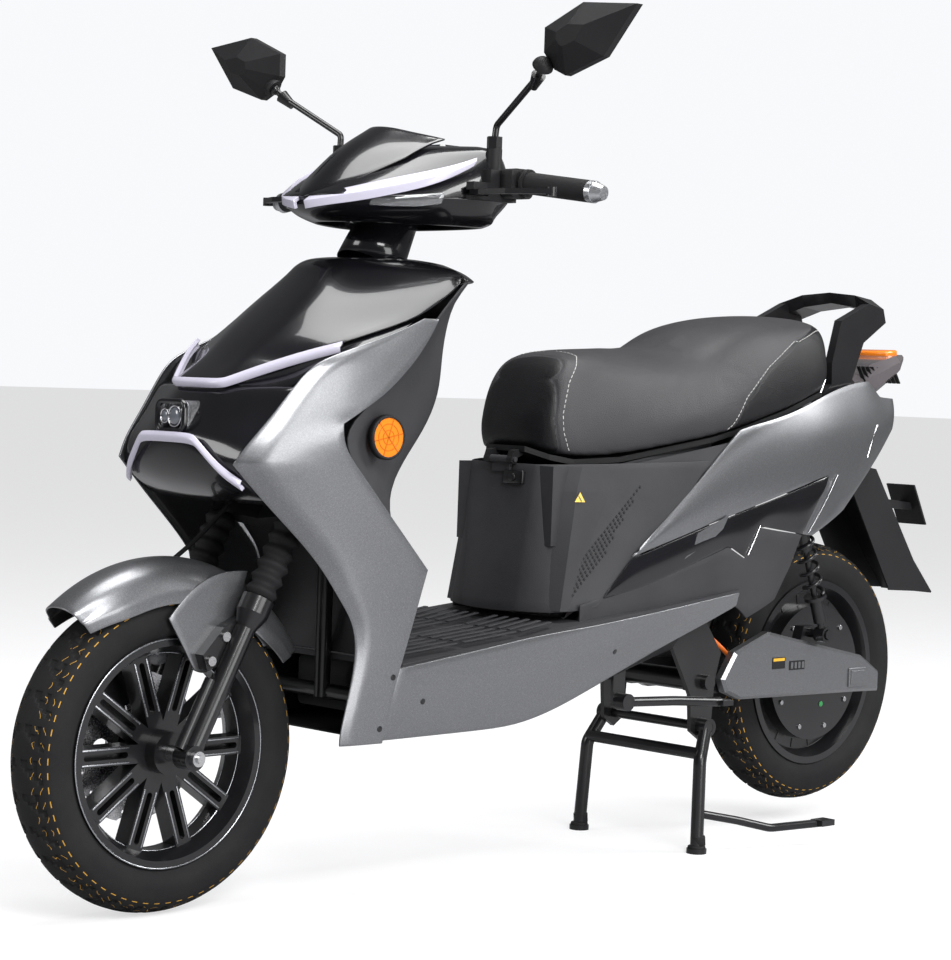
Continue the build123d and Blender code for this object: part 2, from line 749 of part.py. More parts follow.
with BuildPart() as headlight:
    with BuildSketch(cross_plane(700)):
        with Locations(headlight_place):
            RectangleRounded(*headlight_size, 10)
    extrude(amount=72)
    with BuildSketch(cross_plane(764)):
        with Locations(headlight_place):
            RectangleRounded(headlight_size[0] - 8, headlight_size[1] - 8, 8)
    extrude(amount=20, mode=Mode.SUBTRACT)
headlight.part.label = "headlight"
export_step(headlight.part, "parts/headlight.step")


def lens_bar(points, height, depth):
    # a bar through places (x, y, z), upright in section, ruled between them
    with BuildPart() as body:
        for i, (x, y, z) in enumerate(points):
            before = Vector(*points[max(i - 1, 0)])
            after = Vector(*points[min(i + 1, len(points) - 1)])
            way = (after - before).normalized()
            out = Vector(way.Y, -way.X, 0).normalized()
            with BuildSketch(Plane(origin=(x, y, z), x_dir=out, z_dir=way)):
                Rectangle(depth, height)
        loft(ruled=True)
    return body.part


upper_bar_points = [(612, 152, 813), (664, 112, 790), (729, 56, 762), (733.5, 0, 762), (729, -56, 762),
                    (664, -112, 790), (612, -152, 813)]
lower_bar_points = [(752, 124, 622), (770, 92, 652), (779, 60, 680), (782.5, 0, 682), (779, -60, 680),
                    (770, -92, 652), (752, -124, 622)]
light_bar_upper = lens_bar(upper_bar_points, 14, 13)
light_bar_lower = lens_bar(lower_bar_points, 12, 13)
with BuildPart() as light_bars:
    add(light_bar_upper)
    add(light_bar_lower)
    add(hood_cover.part, mode=Mode.SUBTRACT)
    add(nose_cover.part, mode=Mode.SUBTRACT)
light_bars.part.label = "light_bars"
export_step(light_bars.part, "parts/light_bars.step")

shield_lines = [
    (245, [(574, 163), (536, 168), (498, 170)]),
    (263, [(576, 164), (535, 168), (494, 171)]),
    (320, [(560, 164), (520, 169), (482, 174)]),
    (382, [(548, 164), (505, 171), (463, 177)]),
    (456, [(582, 160), (515, 173), (443, 182)]),
    (497, [(607, 153), (525, 174), (432, 185)]),
    (543, [(651, 147), (570, 173), (480, 190)]),
    (594, [(710, 140), (620, 172), (530, 191)]),
    (649, [(765, 134), (680, 168), (583, 192)]),
    (679, [(748, 142), (690, 165), (612, 194)]),
    (711, [(719, 150), (680, 165), (614, 195)]),
    (753, [(687, 158), (630, 178), (538, 198)]),
    (793, [(655, 166), (590, 184), (496, 200)]),
    (811, [(612, 172), (560, 188), (478, 200)]),
    (862, [(478, 199), (462, 200), (443, 200)]),
]
shield_skin = stack([(z, skin(line, wall)) for z, line in shield_lines])
with BuildPart() as leg_shields:
    add(shield_skin)
    mirror(about=Plane.XZ)
    add(nose_cover.part, mode=Mode.SUBTRACT)
    add(light_bars.part, mode=Mode.SUBTRACT)
leg_shields.part.label = "leg_shields"
export_step(leg_shields.part, "parts/leg_shields.step")

# The floor's upper face, as places forward and up
floor_line = [(464, 358), (183, 385), (110, 398), (-151, 424), (-319, 441)]
floor_thick = 8
inner_lines = [
    (floor_line[0][1] + 1, [(455, 0), (459, 115), (461, 145), (464, 166)]),
    (430, [(436, 0), (446, 120), (450, 150), (456, 170)]),
    (497, [(424, 0), (440, 110), (444, 140), (447, 176)]),
    (540, [(420, 0), (446, 100), (462, 140), (484, 180)]),
    (600, [(416, 0), (440, 96), (470, 140), (536, 178)]),
    (655, [(398, 0), (418, 112), (480, 150), (590, 182)]),
    (700, [(352, 0), (372, 108), (470, 152), (612, 184)]),
    (755, [(322, 0), (336, 102), (440, 150), (540, 186)]),
    (811, [(318, 0), (333, 98), (424, 150), (480, 190)]),
    (862, [(306, 0), (328, 98), (392, 150), (446, 191)]),
    (hood_lines[-1][0] - seat_gap, [(288, 0), (304, 98), (360, 180), (380, 190)]),
]
liner_x = 484.2
inner_skin = stack([(z, skin(full_width(half)[::-1], wall)) for z, half in inner_lines])
with BuildPart() as inner_shield:
    add(inner_skin)
    with Locations((liner_x + wall / 2, 0, 420)):
        Box(wall, 270, 340)
inner_shield.part.label = "inner_shield"
export_step(inner_shield.part, "parts/inner_shield.step")

reflector_place = (523, 692)
reflector_radius = 29
with BuildPart() as side_reflectors:
    add(cross_rod(*reflector_place, 170, 186, 24))
    add(cross_rod(*reflector_place, 178, 188, reflector_radius))
    mirror(about=Plane.XZ)
side_reflectors.part.label = "side_reflectors"
export_step(side_reflectors.part, "parts/side_reflectors.step")


def both_ways(points):
    # the left half of a cross-section, from the middle out, completed on the right
    return [(-y, z) for y, z in points[::-1] if y > 0] + list(points)


# ---- chassis: battery and frame
battery_low = 268
battery_high = 344
battery_half_width = 105.8
with BuildPart() as battery_pack:
    with Locations((285, 0, (battery_low + battery_high) / 2)):
        Box(290, 2 * battery_half_width, battery_high - battery_low)
    chamfer(battery_pack.edges().filter_by(Axis.X), 6)
battery_pack.part.label = "battery_pack"
export_step(battery_pack.part, "parts/battery_pack.step")

tube_radius = 12
down_tube_x = 472
rail_z = 300
rail_points = [(down_tube_x - 8, 118, rail_z), (60, 118, 306), (-150, 104, 366), (-262, 88, 410), (-400, 80, 560),
               (-470, 80, 650), (-620, 75, 730), (-700, 60, 742)]
pivot_plate = (96, 104)
pivot_plate_shape = [(-140, 362), (-160, 392), (-262, 420), (-330, 330), (-316, 282), (-310, 200), (-285, 184),
                     (-260, 200), (-255, 262), (-205, 346)]
swing_bolt_radius = 8
shock_pin_end = 137
hinge_x = 110
hinge_z = 654
rail = bent_rod(rail_points, [60, 60, 60, 60, 40, 60], tube_radius)
with BuildPart() as main_frame:
    with BuildSketch(steer.offset(head_low)):
        Circle(24)
    extrude(amount=head_high - head_low)
    add(bent_rod([(512, 0, 690), (down_tube_x, 0, 610), (down_tube_x, 0, rail_z - 8)], [60], tube_radius))
    add(cross_rod(down_tube_x - 8, rail_z, -118, 118, tube_radius))
    add(both_sides(rail))
    add(plate(pivot_plate_shape, *pivot_plate))
    add(plate(pivot_plate_shape, -pivot_plate[1], -pivot_plate[0]))
    add(cross_rod(pivot_x, pivot_z, -116, 116, swing_bolt_radius))
    add(cross_rod(*stand_pivot, -124, 124, swing_bolt_radius))
    add(cross_rod(-692, 741, -62, 62, 9))
    add(cross_rod(-250, 402, -90, 90, 10))
    for side in (1, -1):
        add(cross_rod(pivot_x, pivot_z, side * pivot_plate[1], side * 116, 13))
        add(cross_rod(*shock_high, side * 80, side * shock_pin_end, swing_bolt_radius))
    add(plate([(-78, 352), (-48, 345), (-50, 258), (-76, 258)], 112, 118))
    add(cross_rod(*side_pivot, 112, 141, 6))
    with BuildSketch(steer.offset(head_low - 10)):
        Circle(stem_radius + running)
    extrude(amount=head_high - head_low + 20, mode=Mode.SUBTRACT)
main_frame.part.label = "main_frame"
export_step(main_frame.part, "parts/main_frame.step")

# ---- floor, sills and belly
sill_lines = [(500, [(160, 245), (171, 300), (171, 352)]),
              (205, [(150, 245), (172, 320), (174, 386)]),
              (52, [(140, 284), (165, 340), (172, 398)]),
              (-151, [(140, 356), (158, 385), (165, 419)]),
              (-319, [(143, 413), (147, 425), (150, 436)])]
shield_rear = [(462.5, 382), (481.5, 320), (493.5, 263), (498, 240), (620, 240), (620, 400), (462.5, 400)]
sill_half = stations([(x, skin(line, wall)) for x, line in sill_lines])
with BuildPart() as sill_panels:
    add(sill_half)
    add(plate(shield_rear, 130, 220), mode=Mode.SUBTRACT)
    mirror(about=Plane.XZ)
sill_panels.part.label = "sill_panels"
export_step(sill_panels.part, "parts/sill_panels.step")

belly_lines = [(490, [(140, 243), (158, 247)]), (205, [(130, 243), (148, 247)]), (52, [(120, 278), (138, 286)]),
               (-151, [(118, 333), (138, 358)]), (-190, [(118, 342), (139, 370)])]
lower_rear_shape = [(-106, 460), (-283, 515), (-331, 494), (-359, 547), (-482, 531), (-458, 476), (-424, 420),
                    (-349, 391), (-319, 416), (-200, 424)]
body_lines = [(60, [146, 148, 146, 141, 136]), (-44, [150, 153, 154, 150, 146]), (-275, [144, 152, 156, 153, 142]),
              (-400, [138, 148, 154, 148, 130]), (-552, [128, 144, 146, 140, 112]),
              (-705, [96, 106, 112, 118, 100]), (-810, [87, 93, 95, 92, 84])]
body_heights = [400, 520, 610, 715, 830]
body_skin = stations([(x, skin(list(zip(widths, body_heights)), wall)) for x, widths in body_lines])
belly_skin = stations([(x, skin(both_ways(line), wall)) for x, line in belly_lines])


def side_panel(outline):
    with BuildPart() as body:
        add(body_skin)
        add(plate(outline, 60, 200), mode=Mode.INTERSECT)
    return body.part


with BuildPart() as belly_pan:
    add(belly_skin)
    with Locations((-63, 124, 320)):
        Box(50, 44, 90, mode=Mode.SUBTRACT)
    add(both_sides(side_panel(lower_rear_shape)))
    add(sill_panels.part, mode=Mode.SUBTRACT)
belly_pan.part.label = "belly_pan"
export_step(belly_pan.part, "parts/belly_pan.step")

# The under-seat box: the cover in front and a tub for storage
box_lines = [
    (418, [(125, 0), (125, 60), (94, 130), (30, 145)]),
    (607, [(104, 0), (104, 70), (60, 125), (-181, 150)]),
    (655, [(98, 0), (98, 72), (45, 122), (-236, 150)]),
    (705, [(92, 0), (92, 72), (40, 122), (-294, 150)]),
]
box_top = [(140, 646), (60, 646), (-60, 651), (-212, 677), (-264, 686), (-320, 697), (-320, 760), (140, 760)]
tub_x = (-282, 98)
tub_half_width = 108
tub_floor = 520
box_full = stack([(z, full_width(half)) for z, half in box_lines])
box_skin = stack([(z, skin(full_width(half), wall)) for z, half in box_lines])
with BuildPart() as seat_box:
    with Locations(((tub_x[0] + tub_x[1]) / 2, 0, (tub_floor + 720) / 2)):
        Box(tub_x[1] - tub_x[0], 2 * tub_half_width, 720 - tub_floor)
    with Locations(((tub_x[0] + tub_x[1]) / 2, 0, tub_floor + wall + 120)):
        Box(tub_x[1] - tub_x[0] - 2 * wall, 2 * (tub_half_width - wall), 240, mode=Mode.SUBTRACT)
    add(box_skin)
    add(plate(box_top, -200, 200), mode=Mode.SUBTRACT)
    with Locations((hinge_x - 8, 0, hinge_z - 12)):
        Box(14, 40, 16)
    add(cross_rod(hinge_x, hinge_z, -20, 20, 6))
    add(cross_rod(hinge_x, hinge_z, -35, 35, 4))
seat_box.part.label = "seat_box"
export_step(seat_box.part, "parts/seat_box.step")

floor_edge = [(466, 170), (205, 172.5), (52, 170), (-151, 163), (-319, 148)]
with BuildPart() as floorboard:
    add(plate(skin(floor_line[::-1], -floor_thick), -190, 190))
    with BuildSketch(Plane.XY.offset(300)):
        with BuildLine():
            Polyline(*full_width([(466, 0)] + floor_edge + [(-319, 0)]), close=True)
        make_face()
    extrude(amount=200, mode=Mode.INTERSECT)
    add(box_full, mode=Mode.SUBTRACT)
    with BuildSketch(Plane.XY.offset(300)):
        with BuildLine():
            Polyline((60, -142), (60, 142), (-330, 142), (-330, -142), close=True)
        make_face()
    extrude(amount=200, mode=Mode.SUBTRACT)
    add(sill_panels.part, mode=Mode.SUBTRACT)
    add(main_frame.part, mode=Mode.SUBTRACT)
    add(belly_pan.part, mode=Mode.SUBTRACT)
floorboard.part.label = "floorboard"
export_step(floorboard.part, "parts/floorboard.step")

# ---- rear body panels
accent_shape = [(17, 437), (-44, 500), (-275, 563), (-552, 633), (-482, 532), (-359, 548), (-331, 495), (-283, 516),
                (-106, 461)]
panel_shape = [(-46, 502), (-304, 714), (-330, 707), (-454, 740), (-560, 774), (-600, 790), (-705, 800),
               (-757, 764), (-796, 770), (-791, 715), (-705, 639), (-613, 571), (-511, 529), (-482, 531),
               (-552, 634), (-275, 564)]
with BuildPart() as accent_panels:
    add(side_panel(accent_shape))
    mirror(about=Plane.XZ)
    add(seat_box.part, mode=Mode.SUBTRACT)
    add(floorboard.part, mode=Mode.SUBTRACT)
    add(belly_pan.part, mode=Mode.SUBTRACT)
accent_panels.part.label = "accent_panels"
export_step(accent_panels.part, "parts/accent_panels.step")

with BuildPart() as rear_panels:
    add(side_panel(panel_shape))
    mirror(about=Plane.XZ)
    add(seat_box.part, mode=Mode.SUBTRACT)
    add(accent_panels.part, mode=Mode.SUBTRACT)
rear_panels.part.label = "rear_panels"
export_step(rear_panels.part, "parts/rear_panels.step")

rail_arm = [(-566, 752), (-640, 760), (-688, 868), (-750, 906), (-742, 930), (-700, 938), (-622, 905), (-600, 830),
            (-601, 792), (-566, 763)]
bar_lines = [(-104, [(-750, 906), (-742, 930), (-700, 938), (-706, 914)]),
             (-60, [(-768, 926), (-762, 948), (-712, 954), (-718, 932)]),
             (0, [(-776, 934), (-770, 957), (-716, 959), (-722, 940)]),
             (60, [(-768, 926), (-762, 948), (-712, 954), (-718, 932)]),
             (104, [(-750, 906), (-742, 930), (-700, 938), (-706, 914)])]
with BuildPart() as grab_rail:
    add(plate(rail_arm, 88, 104))
    add(plate(rail_arm, -104, -88))
    add(slices(bar_lines))
    with Locations((-652, 0, 774)):
        Box(134, 200, 8)
    with Locations((-660, 66, 760), (-660, -66, 760)):
        Box(50, 16, 22)
    add(main_frame.part, mode=Mode.SUBTRACT)
grab_rail.part.label = "grab_rail"
export_step(grab_rail.part, "parts/grab_rail.step")


def lamp_outline(half, low, high):
    # an eight-sided outline, left and up, wider than it is high
    cut = (high - low) * 0.3
    right = [(half - cut, low), (half, low + cut), (half, high - cut), (half - cut, high)]
    return right + [(-y, z) for y, z in right[::-1]]


lamp_lines = [(-700, 78, 780, 804), (-760, 86, 772, 832), (-830, 80, 812, 848), (-868, 58, 838, 851)]
with BuildPart() as tail_lamp:
    add(stations([(x, lamp_outline(half, low, high)) for x, half, low, high in lamp_lines]))
    add(grab_rail.part, mode=Mode.SUBTRACT)
tail_lamp.part.label = "tail_lamp"
export_step(tail_lamp.part, "parts/tail_lamp.step")

guard_line = [(-686, 728), (-702, 655), (-800, 640), (-925, 470), (-985, 409)]
guard_side = [(-702, 652), (-800, 637), (-925, 467), (-982, 409), (-854, 416), (-721, 618)]
guard_half_width = 58
with BuildPart() as rear_mudguard:
    add(plate(skin(guard_line, wall), -guard_half_width, guard_half_width))
    add(plate(guard_side, guard_half_width - wall, guard_half_width))
    add(plate(guard_side, -guard_half_width, wall - guard_half_width))
    add(plate([(-836, 588), (-850, 570), (-976, 560), (-974, 574)], -12, 12))
    add(plate([(-951, 608), (-955, 609), (-996, 534), (-992, 533)], -32, 32))
rear_mudguard.part.label = "rear_mudguard"
export_step(rear_mudguard.part, "parts/rear_mudguard.step")

screw_places = ((486, 340), (506, 265), (420, 300), (-10, 352))
with BuildPart() as body_screws:
    for x, z in screw_places:
        add(cross_rod(x, z, 158, 176, 4.5))
    mirror(about=Plane.XZ)
    add(leg_shields.part, mode=Mode.SUBTRACT)
    add(sill_panels.part, mode=Mode.SUBTRACT)
body_screws.part.label = "body_screws"
export_step(body_screws.part, "parts/body_screws.step")

# ---- seat: cushion cross-sections, half widths and heights from the middle of the base
seat_lines = [
    (100, [(0, 676), (58, 676), (70, 700), (58, 714), (34, 719), (0, 720)]),
    (70, [(0, 664), (85, 664), (98, 700), (88, 770), (60, 790), (0, 795)]),
    (35, [(0, 657), (105, 657), (118, 700), (105, 800), (70, 832), (0, 838)]),
    (-60, [(0, 662), (118, 662), (135, 700), (125, 800), (85, 828), (0, 836)]),
    (-212, [(0, 688), (135, 688), (152, 722), (140, 800), (95, 830), (0, 835)]),
    (-264, [(0, 697), (140, 697), (152, 730), (142, 815), (100, 850), (0, 858)]),
    (-330, [(0, 712), (140, 712), (150, 742), (140, 850), (105, 885), (0, 892)]),
    (-454, [(0, 745), (137, 745), (145, 775), (135, 875), (100, 905), (0, 913)]),
    (-560, [(0, 780), (130, 780), (137, 800), (125, 885), (95, 908), (0, 913)]),
    (-590, [(0, 795), (105, 795), (115, 815), (105, 870), (80, 885), (0, 890)]),
]
base_thick = 9
base_inset = 14
cushion_sections = []
base_sections = []
for x, half in seat_lines:
    low = half[0][1]
    base_half = half[1][0] - base_inset
    cushion_sections.append((x, both_ways(half[1:])))
    base_sections.append((x, [(-base_half, low - base_thick), (base_half, low - base_thick), (base_half, low),
                              (-base_half, low)]))
with BuildPart() as seat_cushion:
    add(stations(cushion_sections))
seat_cushion.part.label = "seat_cushion"
export_step(seat_cushion.part, "parts/seat_cushion.step")

with BuildPart() as seat_base:
    add(stations(base_sections))
    for side in (1, -1):
        add(cross_rod(hinge_x, hinge_z, side * 20.5, side * 32, 7))
        add(plate([(117, 654), (112, 668), (90, 672), (90, 662), (104, 656)], min(side * 20.5, side * 32),
                  max(side * 20.5, side * 32)))
        add(cross_rod(hinge_x, hinge_z, side * 15, side * 40, 4 + running), mode=Mode.SUBTRACT)
    add(seat_cushion.part, mode=Mode.SUBTRACT)
seat_base.part.label = "seat_base"
export_step(seat_base.part, "parts/seat_base.step")

# ---- rear wheel, swingarm and shocks
rear_plane = outline_plane(rear_axle[0], rear_axle[2])
rear_line = Axis(rear_axle, (0, 1, 0))
with BuildPart() as rear_tyre:
    with BuildSketch(rear_plane):
        add(tyre_section.sketch)
    revolve(axis=rear_line)
rear_tyre.part.label = "rear_tyre"
export_step(rear_tyre.part, "parts/rear_tyre.step")

motor_radius = 122
motor_half_width = 40
with BuildPart() as hub_motor:
    with BuildSketch(rear_plane):
        add(rim_section.sketch)
    revolve(axis=rear_line)
    add(cross_rod(rear_axle[0], rear_axle[2], -13, 13, rim_radius - 22))
    add(cross_rod(rear_axle[0], rear_axle[2], -motor_half_width, motor_half_width, motor_radius))
    add(cross_rod(rear_axle[0], rear_axle[2], -60, 60, rear_axle_radius + running), mode=Mode.SUBTRACT)
hub_motor.part.label = "hub_motor"
export_step(hub_motor.part, "parts/hub_motor.step")

arm_y = (72, 92)
arm_shape = [(-272, 298), (-272, 266), (-300, 260), (-640, 250), (-688, 254), (-688, 290), (-640, 296), (-330, 304)]
lug_shape = [(-618, 290), (-542, 292), (-565, 364), (-595, 364)]
cover_shape = [(-324, 285), (-356, 330), (-445, 361), (-706, 308), (-758, 277), (-758, 241), (-690, 243),
               (-372, 248), (-336, 262)]
cover_y = (98, 116)
with BuildPart() as swingarm:
    add(cross_rod(pivot_x, pivot_z, -pivot_plate[0] + seat_gap, pivot_plate[0] - seat_gap, 18))
    for low in (arm_y[0], -arm_y[1]):
        add(plate(arm_shape, low, low + arm_y[1] - arm_y[0]))
        add(plate(lug_shape, low, low + arm_y[1] - arm_y[0]))
    for side in (1, -1):
        add(cross_rod(*shock_low, side * arm_y[0], side * shock_pin_end, swing_bolt_radius))
        add(cross_rod(rear_axle[0], rear_axle[2], side * (motor_half_width + seat_gap), side * arm_y[0], 13))
        for x, z in ((-420, 285), (-620, 274)):
            add(cross_rod(x, z, side * arm_y[1], side * cover_y[0], 9))
    add(cross_rod(rear_axle[0], rear_axle[2], -cover_y[0] + 1, cover_y[0] - 1, rear_axle_radius))
    add(cross_rod(pivot_x, pivot_z, -120, 120, swing_bolt_radius + running), mode=Mode.SUBTRACT)
swingarm.part.label = "swingarm"
export_step(swingarm.part, "parts/swingarm.step")

with BuildPart() as swingarm_cover:
    add(plate(cover_shape, *cover_y))
    chamfer(swingarm_cover.faces().sort_by(Axis.Y)[-1].edges(), 5)
    mirror(about=Plane.XZ)
swingarm_cover.part.label = "swingarm_cover"
export_step(swingarm_cover.part, "parts/swingarm_cover.step")

# Shocks, as distances down the line from the upper eye
shock_way = Vector(shock_low[0] - shock_high[0], 0, shock_low[1] - shock_high[1])
shock_length = shock_way.length
shock_way = shock_way.normalized()
spring_wire = 3.2
spring_radius = 16
spring_turns = 8
seat_radius = 20
upper_seat = 36
lower_seat = 236
body_radius = 11.5
rod_radius = 6
body_end = 150
rod_top = 110
eye_radius = 14
eye_half_width = 11
lower_eye_clearance = 1.3


def shock_plane(side, down):
    place = Vector(shock_high[0], side * shock_y, shock_high[1]) + shock_way * down
    return Plane(origin=place, x_dir=(0, 1, 0), z_dir=shock_way)


with BuildPart() as shock_bodies:
    for side in (1, -1):
        add(cross_rod(*shock_high, side * shock_y - eye_half_width, side * shock_y + eye_half_width, eye_radius))
        with BuildSketch(shock_plane(side, 8)):
            Circle(body_radius)
        extrude(amount=body_end - 8)
        with BuildSketch(shock_plane(side, upper_seat - 6)):
            Circle(seat_radius)
        extrude(amount=6)
        with BuildSketch(shock_plane(side, 60)):
            Circle(rod_radius + running)
        extrude(amount=body_end, mode=Mode.SUBTRACT)
        add(cross_rod(*shock_high, side * shock_y - 30, side * shock_y + 30, swing_bolt_radius + seat_gap),
            mode=Mode.SUBTRACT)
shock_bodies.part.label = "shock_bodies"
export_step(shock_bodies.part, "parts/shock_bodies.step")

with BuildPart() as shock_rods:
    for side in (1, -1):
        add(cross_rod(*shock_low, side * shock_y - eye_half_width, side * shock_y + eye_half_width, eye_radius))
        with BuildSketch(shock_plane(side, rod_top)):
            Circle(rod_radius)
        extrude(amount=shock_length - rod_top)
        with BuildSketch(shock_plane(side, lower_seat)):
            Circle(seat_radius)
        extrude(amount=6)
        with BuildSketch(shock_plane(side, lower_seat)):
            Circle(body_radius)
        extrude(amount=50)
        add(cross_rod(*shock_low, side * shock_y - 30, side * shock_y + 30, swing_bolt_radius + lower_eye_clearance),
            mode=Mode.SUBTRACT)
shock_rods.part.label = "shock_rods"
export_step(shock_rods.part, "parts/shock_rods.step")

spring_height = lower_seat - upper_seat - 2 * spring_wire
with BuildPart() as one_spring:
    with BuildLine() as coil:
        Helix(pitch=spring_height / spring_turns, height=spring_height, radius=spring_radius)
    with BuildSketch(Plane(origin=coil.line @ 0, z_dir=coil.line % 0)):
        Circle(spring_wire)
    sweep(path=coil.line, is_frenet=True)
with BuildPart() as shock_springs:
    for side in (1, -1):
        add(shock_plane(side, upper_seat + spring_wire).location * one_spring.part)
shock_springs.part.label = "shock_springs"
export_step(shock_springs.part, "parts/shock_springs.step")

# ---- stands
stand_tube = 11
stand_leg = [(-284, 116, 207), (-256, 130, 155), (-249, 136, 4)]
tang_points = [(-252, 134, 66), (-330, 152, 50), (-398, 170, 33), (-500, 200, 37)]
with BuildPart() as centre_stand:
    for side in (1, -1):
        add(bent_rod([(x, side * y, z) for x, y, z in stand_leg], [30], stand_tube))
        add(cross_rod(*stand_pivot, side * (pivot_plate[1] + seat_gap), side * 124.5, 15))
        with Locations((stand_leg[-1][0], side * stand_leg[-1][1], 4)):
            Cylinder(17, 8)
    add(cross_rod(-258, 165, -128, 128, 10))
    add(bent_rod(tang_points, [60, 60], 7))
    with Locations((-502, 201, 38)):
        Box(34, 26, 10)
    add(cross_rod(*stand_pivot, -140, 140, swing_bolt_radius + running), mode=Mode.SUBTRACT)
    with Locations((-249, 0, -20)):
        Box(200, 400, 40, mode=Mode.SUBTRACT)
centre_stand.part.label = "centre_stand"
export_step(centre_stand.part, "parts/centre_stand.step")

side_leg = [(side_pivot[0], 132, side_pivot[1]), (-170, 143, 262), (-268, 158, 256)]
with BuildPart() as side_stand:
    add(bent_rod(side_leg, [200], 8))
    add(cross_rod(*side_pivot, 118.3, 141, 14))
    with Locations((-272, 159, 255)):
        Box(26, 30, 9)
    add(cross_rod(*side_pivot, 100, 160, 6 + running), mode=Mode.SUBTRACT)
side_stand.part.label = "side_stand"
export_step(side_stand.part, "parts/side_stand.step")


# ---- cords
def cord(name, points, radius):
    # a round cord along tangent arcs, each as large as its two runs allow
    bends = []
    for i in range(1, len(points) - 1):
        before = Vector(*points[i]) - Vector(*points[i - 1])
        after = Vector(*points[i + 1]) - Vector(*points[i])
        half_turn = radians(before.get_angle(after)) / 2
        bends.append(0.45 * min(before.length, after.length) / tan(half_turn))
    body = bent_rod(points, bends, radius)
    print(name, "bends", [round(bend, 1) for bend in bends], "length", round(body.volume / 3.14159 / radius ** 2))
    return body


hose_start = caliper_plane.from_local_coords(Vector(27, 12, 6))
hose_next = caliper_plane.from_local_coords(Vector(60, 16, -5))
hose_points = [tuple(hose_start), tuple(hose_next), (806, -80, 420), (738, -74, 478), (672, -62, 530),
               (638, -52, 566), (623, -45, 590)]
with BuildPart() as brake_hose:
    add(cord("brake_hose", hose_points, 3.5))
    add(steering_yoke.part, mode=Mode.SUBTRACT)
brake_hose.part.label = "brake_hose"
export_step(brake_hose.part, "parts/brake_hose.step")

cable_points = [(-262, 60, 396), (-300, 62, 380), (-338, 66, 356), (-372, 76, 328), (-398, 81, 303)]
with BuildPart() as motor_cable:
    add(cord("motor_cable", cable_points, 4))
    add(main_frame.part, mode=Mode.SUBTRACT)
    add(swingarm.part, mode=Mode.SUBTRACT)
motor_cable.part.label = "motor_cable"
export_step(motor_cable.part, "parts/motor_cable.step")
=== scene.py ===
import bpy
import bmesh
import math
from mathutils.bvhtree import BVHTree
from mathutils import Matrix, Vector


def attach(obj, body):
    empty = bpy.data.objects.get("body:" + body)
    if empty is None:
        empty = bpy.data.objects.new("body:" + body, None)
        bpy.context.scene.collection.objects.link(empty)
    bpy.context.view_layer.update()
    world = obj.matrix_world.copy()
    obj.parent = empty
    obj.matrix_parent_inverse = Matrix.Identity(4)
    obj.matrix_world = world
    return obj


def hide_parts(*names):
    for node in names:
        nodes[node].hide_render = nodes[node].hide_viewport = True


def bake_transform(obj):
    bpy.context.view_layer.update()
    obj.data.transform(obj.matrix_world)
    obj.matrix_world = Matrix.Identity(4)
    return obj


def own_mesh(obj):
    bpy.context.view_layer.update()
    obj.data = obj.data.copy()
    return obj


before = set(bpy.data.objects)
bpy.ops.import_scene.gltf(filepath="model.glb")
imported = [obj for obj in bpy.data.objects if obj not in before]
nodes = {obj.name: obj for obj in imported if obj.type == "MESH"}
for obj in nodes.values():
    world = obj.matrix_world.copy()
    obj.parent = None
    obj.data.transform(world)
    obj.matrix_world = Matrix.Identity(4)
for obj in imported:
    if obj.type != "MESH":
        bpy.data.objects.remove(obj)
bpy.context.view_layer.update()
mm = 0.001


# shader helpers

def newGroup(name, inputs, outputs):
    tree = bpy.data.node_groups.new(name, "ShaderNodeTree")
    for label, kind, value in inputs:
        socket = tree.interface.new_socket(name=label, in_out="INPUT", socket_type=kind)
        if value is not None:
            socket.default_value = value
    for label, kind in outputs:
        tree.interface.new_socket(name=label, in_out="OUTPUT", socket_type=kind)
    return tree, tree.nodes.new("NodeGroupInput"), tree.nodes.new("NodeGroupOutput")


def mathNode(tree, operation, first, second, third=None):
    node = tree.nodes.new("ShaderNodeMath")
    node.operation = operation
    for slot, value in enumerate((first, second, third)):
        if value is None:
            continue
        if isinstance(value, (int, float)):
            node.inputs[slot].default_value = value
        else:
            tree.links.new(value, node.inputs[slot])
    return node.outputs[0]


def noiseNode(tree, coords, scale, detail=2.0, rough=0.5):
    node = tree.nodes.new("ShaderNodeTexNoise")
    tree.links.new(coords, node.inputs["Vector"])
    if isinstance(scale, (int, float)):
        node.inputs["Scale"].default_value = scale
    else:
        tree.links.new(scale, node.inputs["Scale"])
    node.inputs["Detail"].default_value = detail
    node.inputs["Roughness"].default_value = rough
    return node.outputs["Fac"]


def mixColours(tree, mask, first, second):
    # one colour over another; a Mix node keeps its colour sockets at these places
    maskAt, firstAt, secondAt, resultAt = 0, 6, 7, 2
    node = tree.nodes.new("ShaderNodeMix")
    node.data_type = "RGBA"
    for place, value in ((maskAt, mask), (firstAt, first), (secondAt, second)):
        if isinstance(value, tuple):
            node.inputs[place].default_value = value
        else:
            tree.links.new(value, node.inputs[place])
    return node.outputs[resultAt]


def bumpNode(tree, height, distance, strength):
    node = tree.nodes.new("ShaderNodeBump")
    node.inputs["Distance"].default_value = distance
    tree.links.new(height, node.inputs["Height"])
    if isinstance(strength, float):
        node.inputs["Strength"].default_value = strength
    else:
        tree.links.new(strength, node.inputs["Strength"])
    return node.outputs[0]


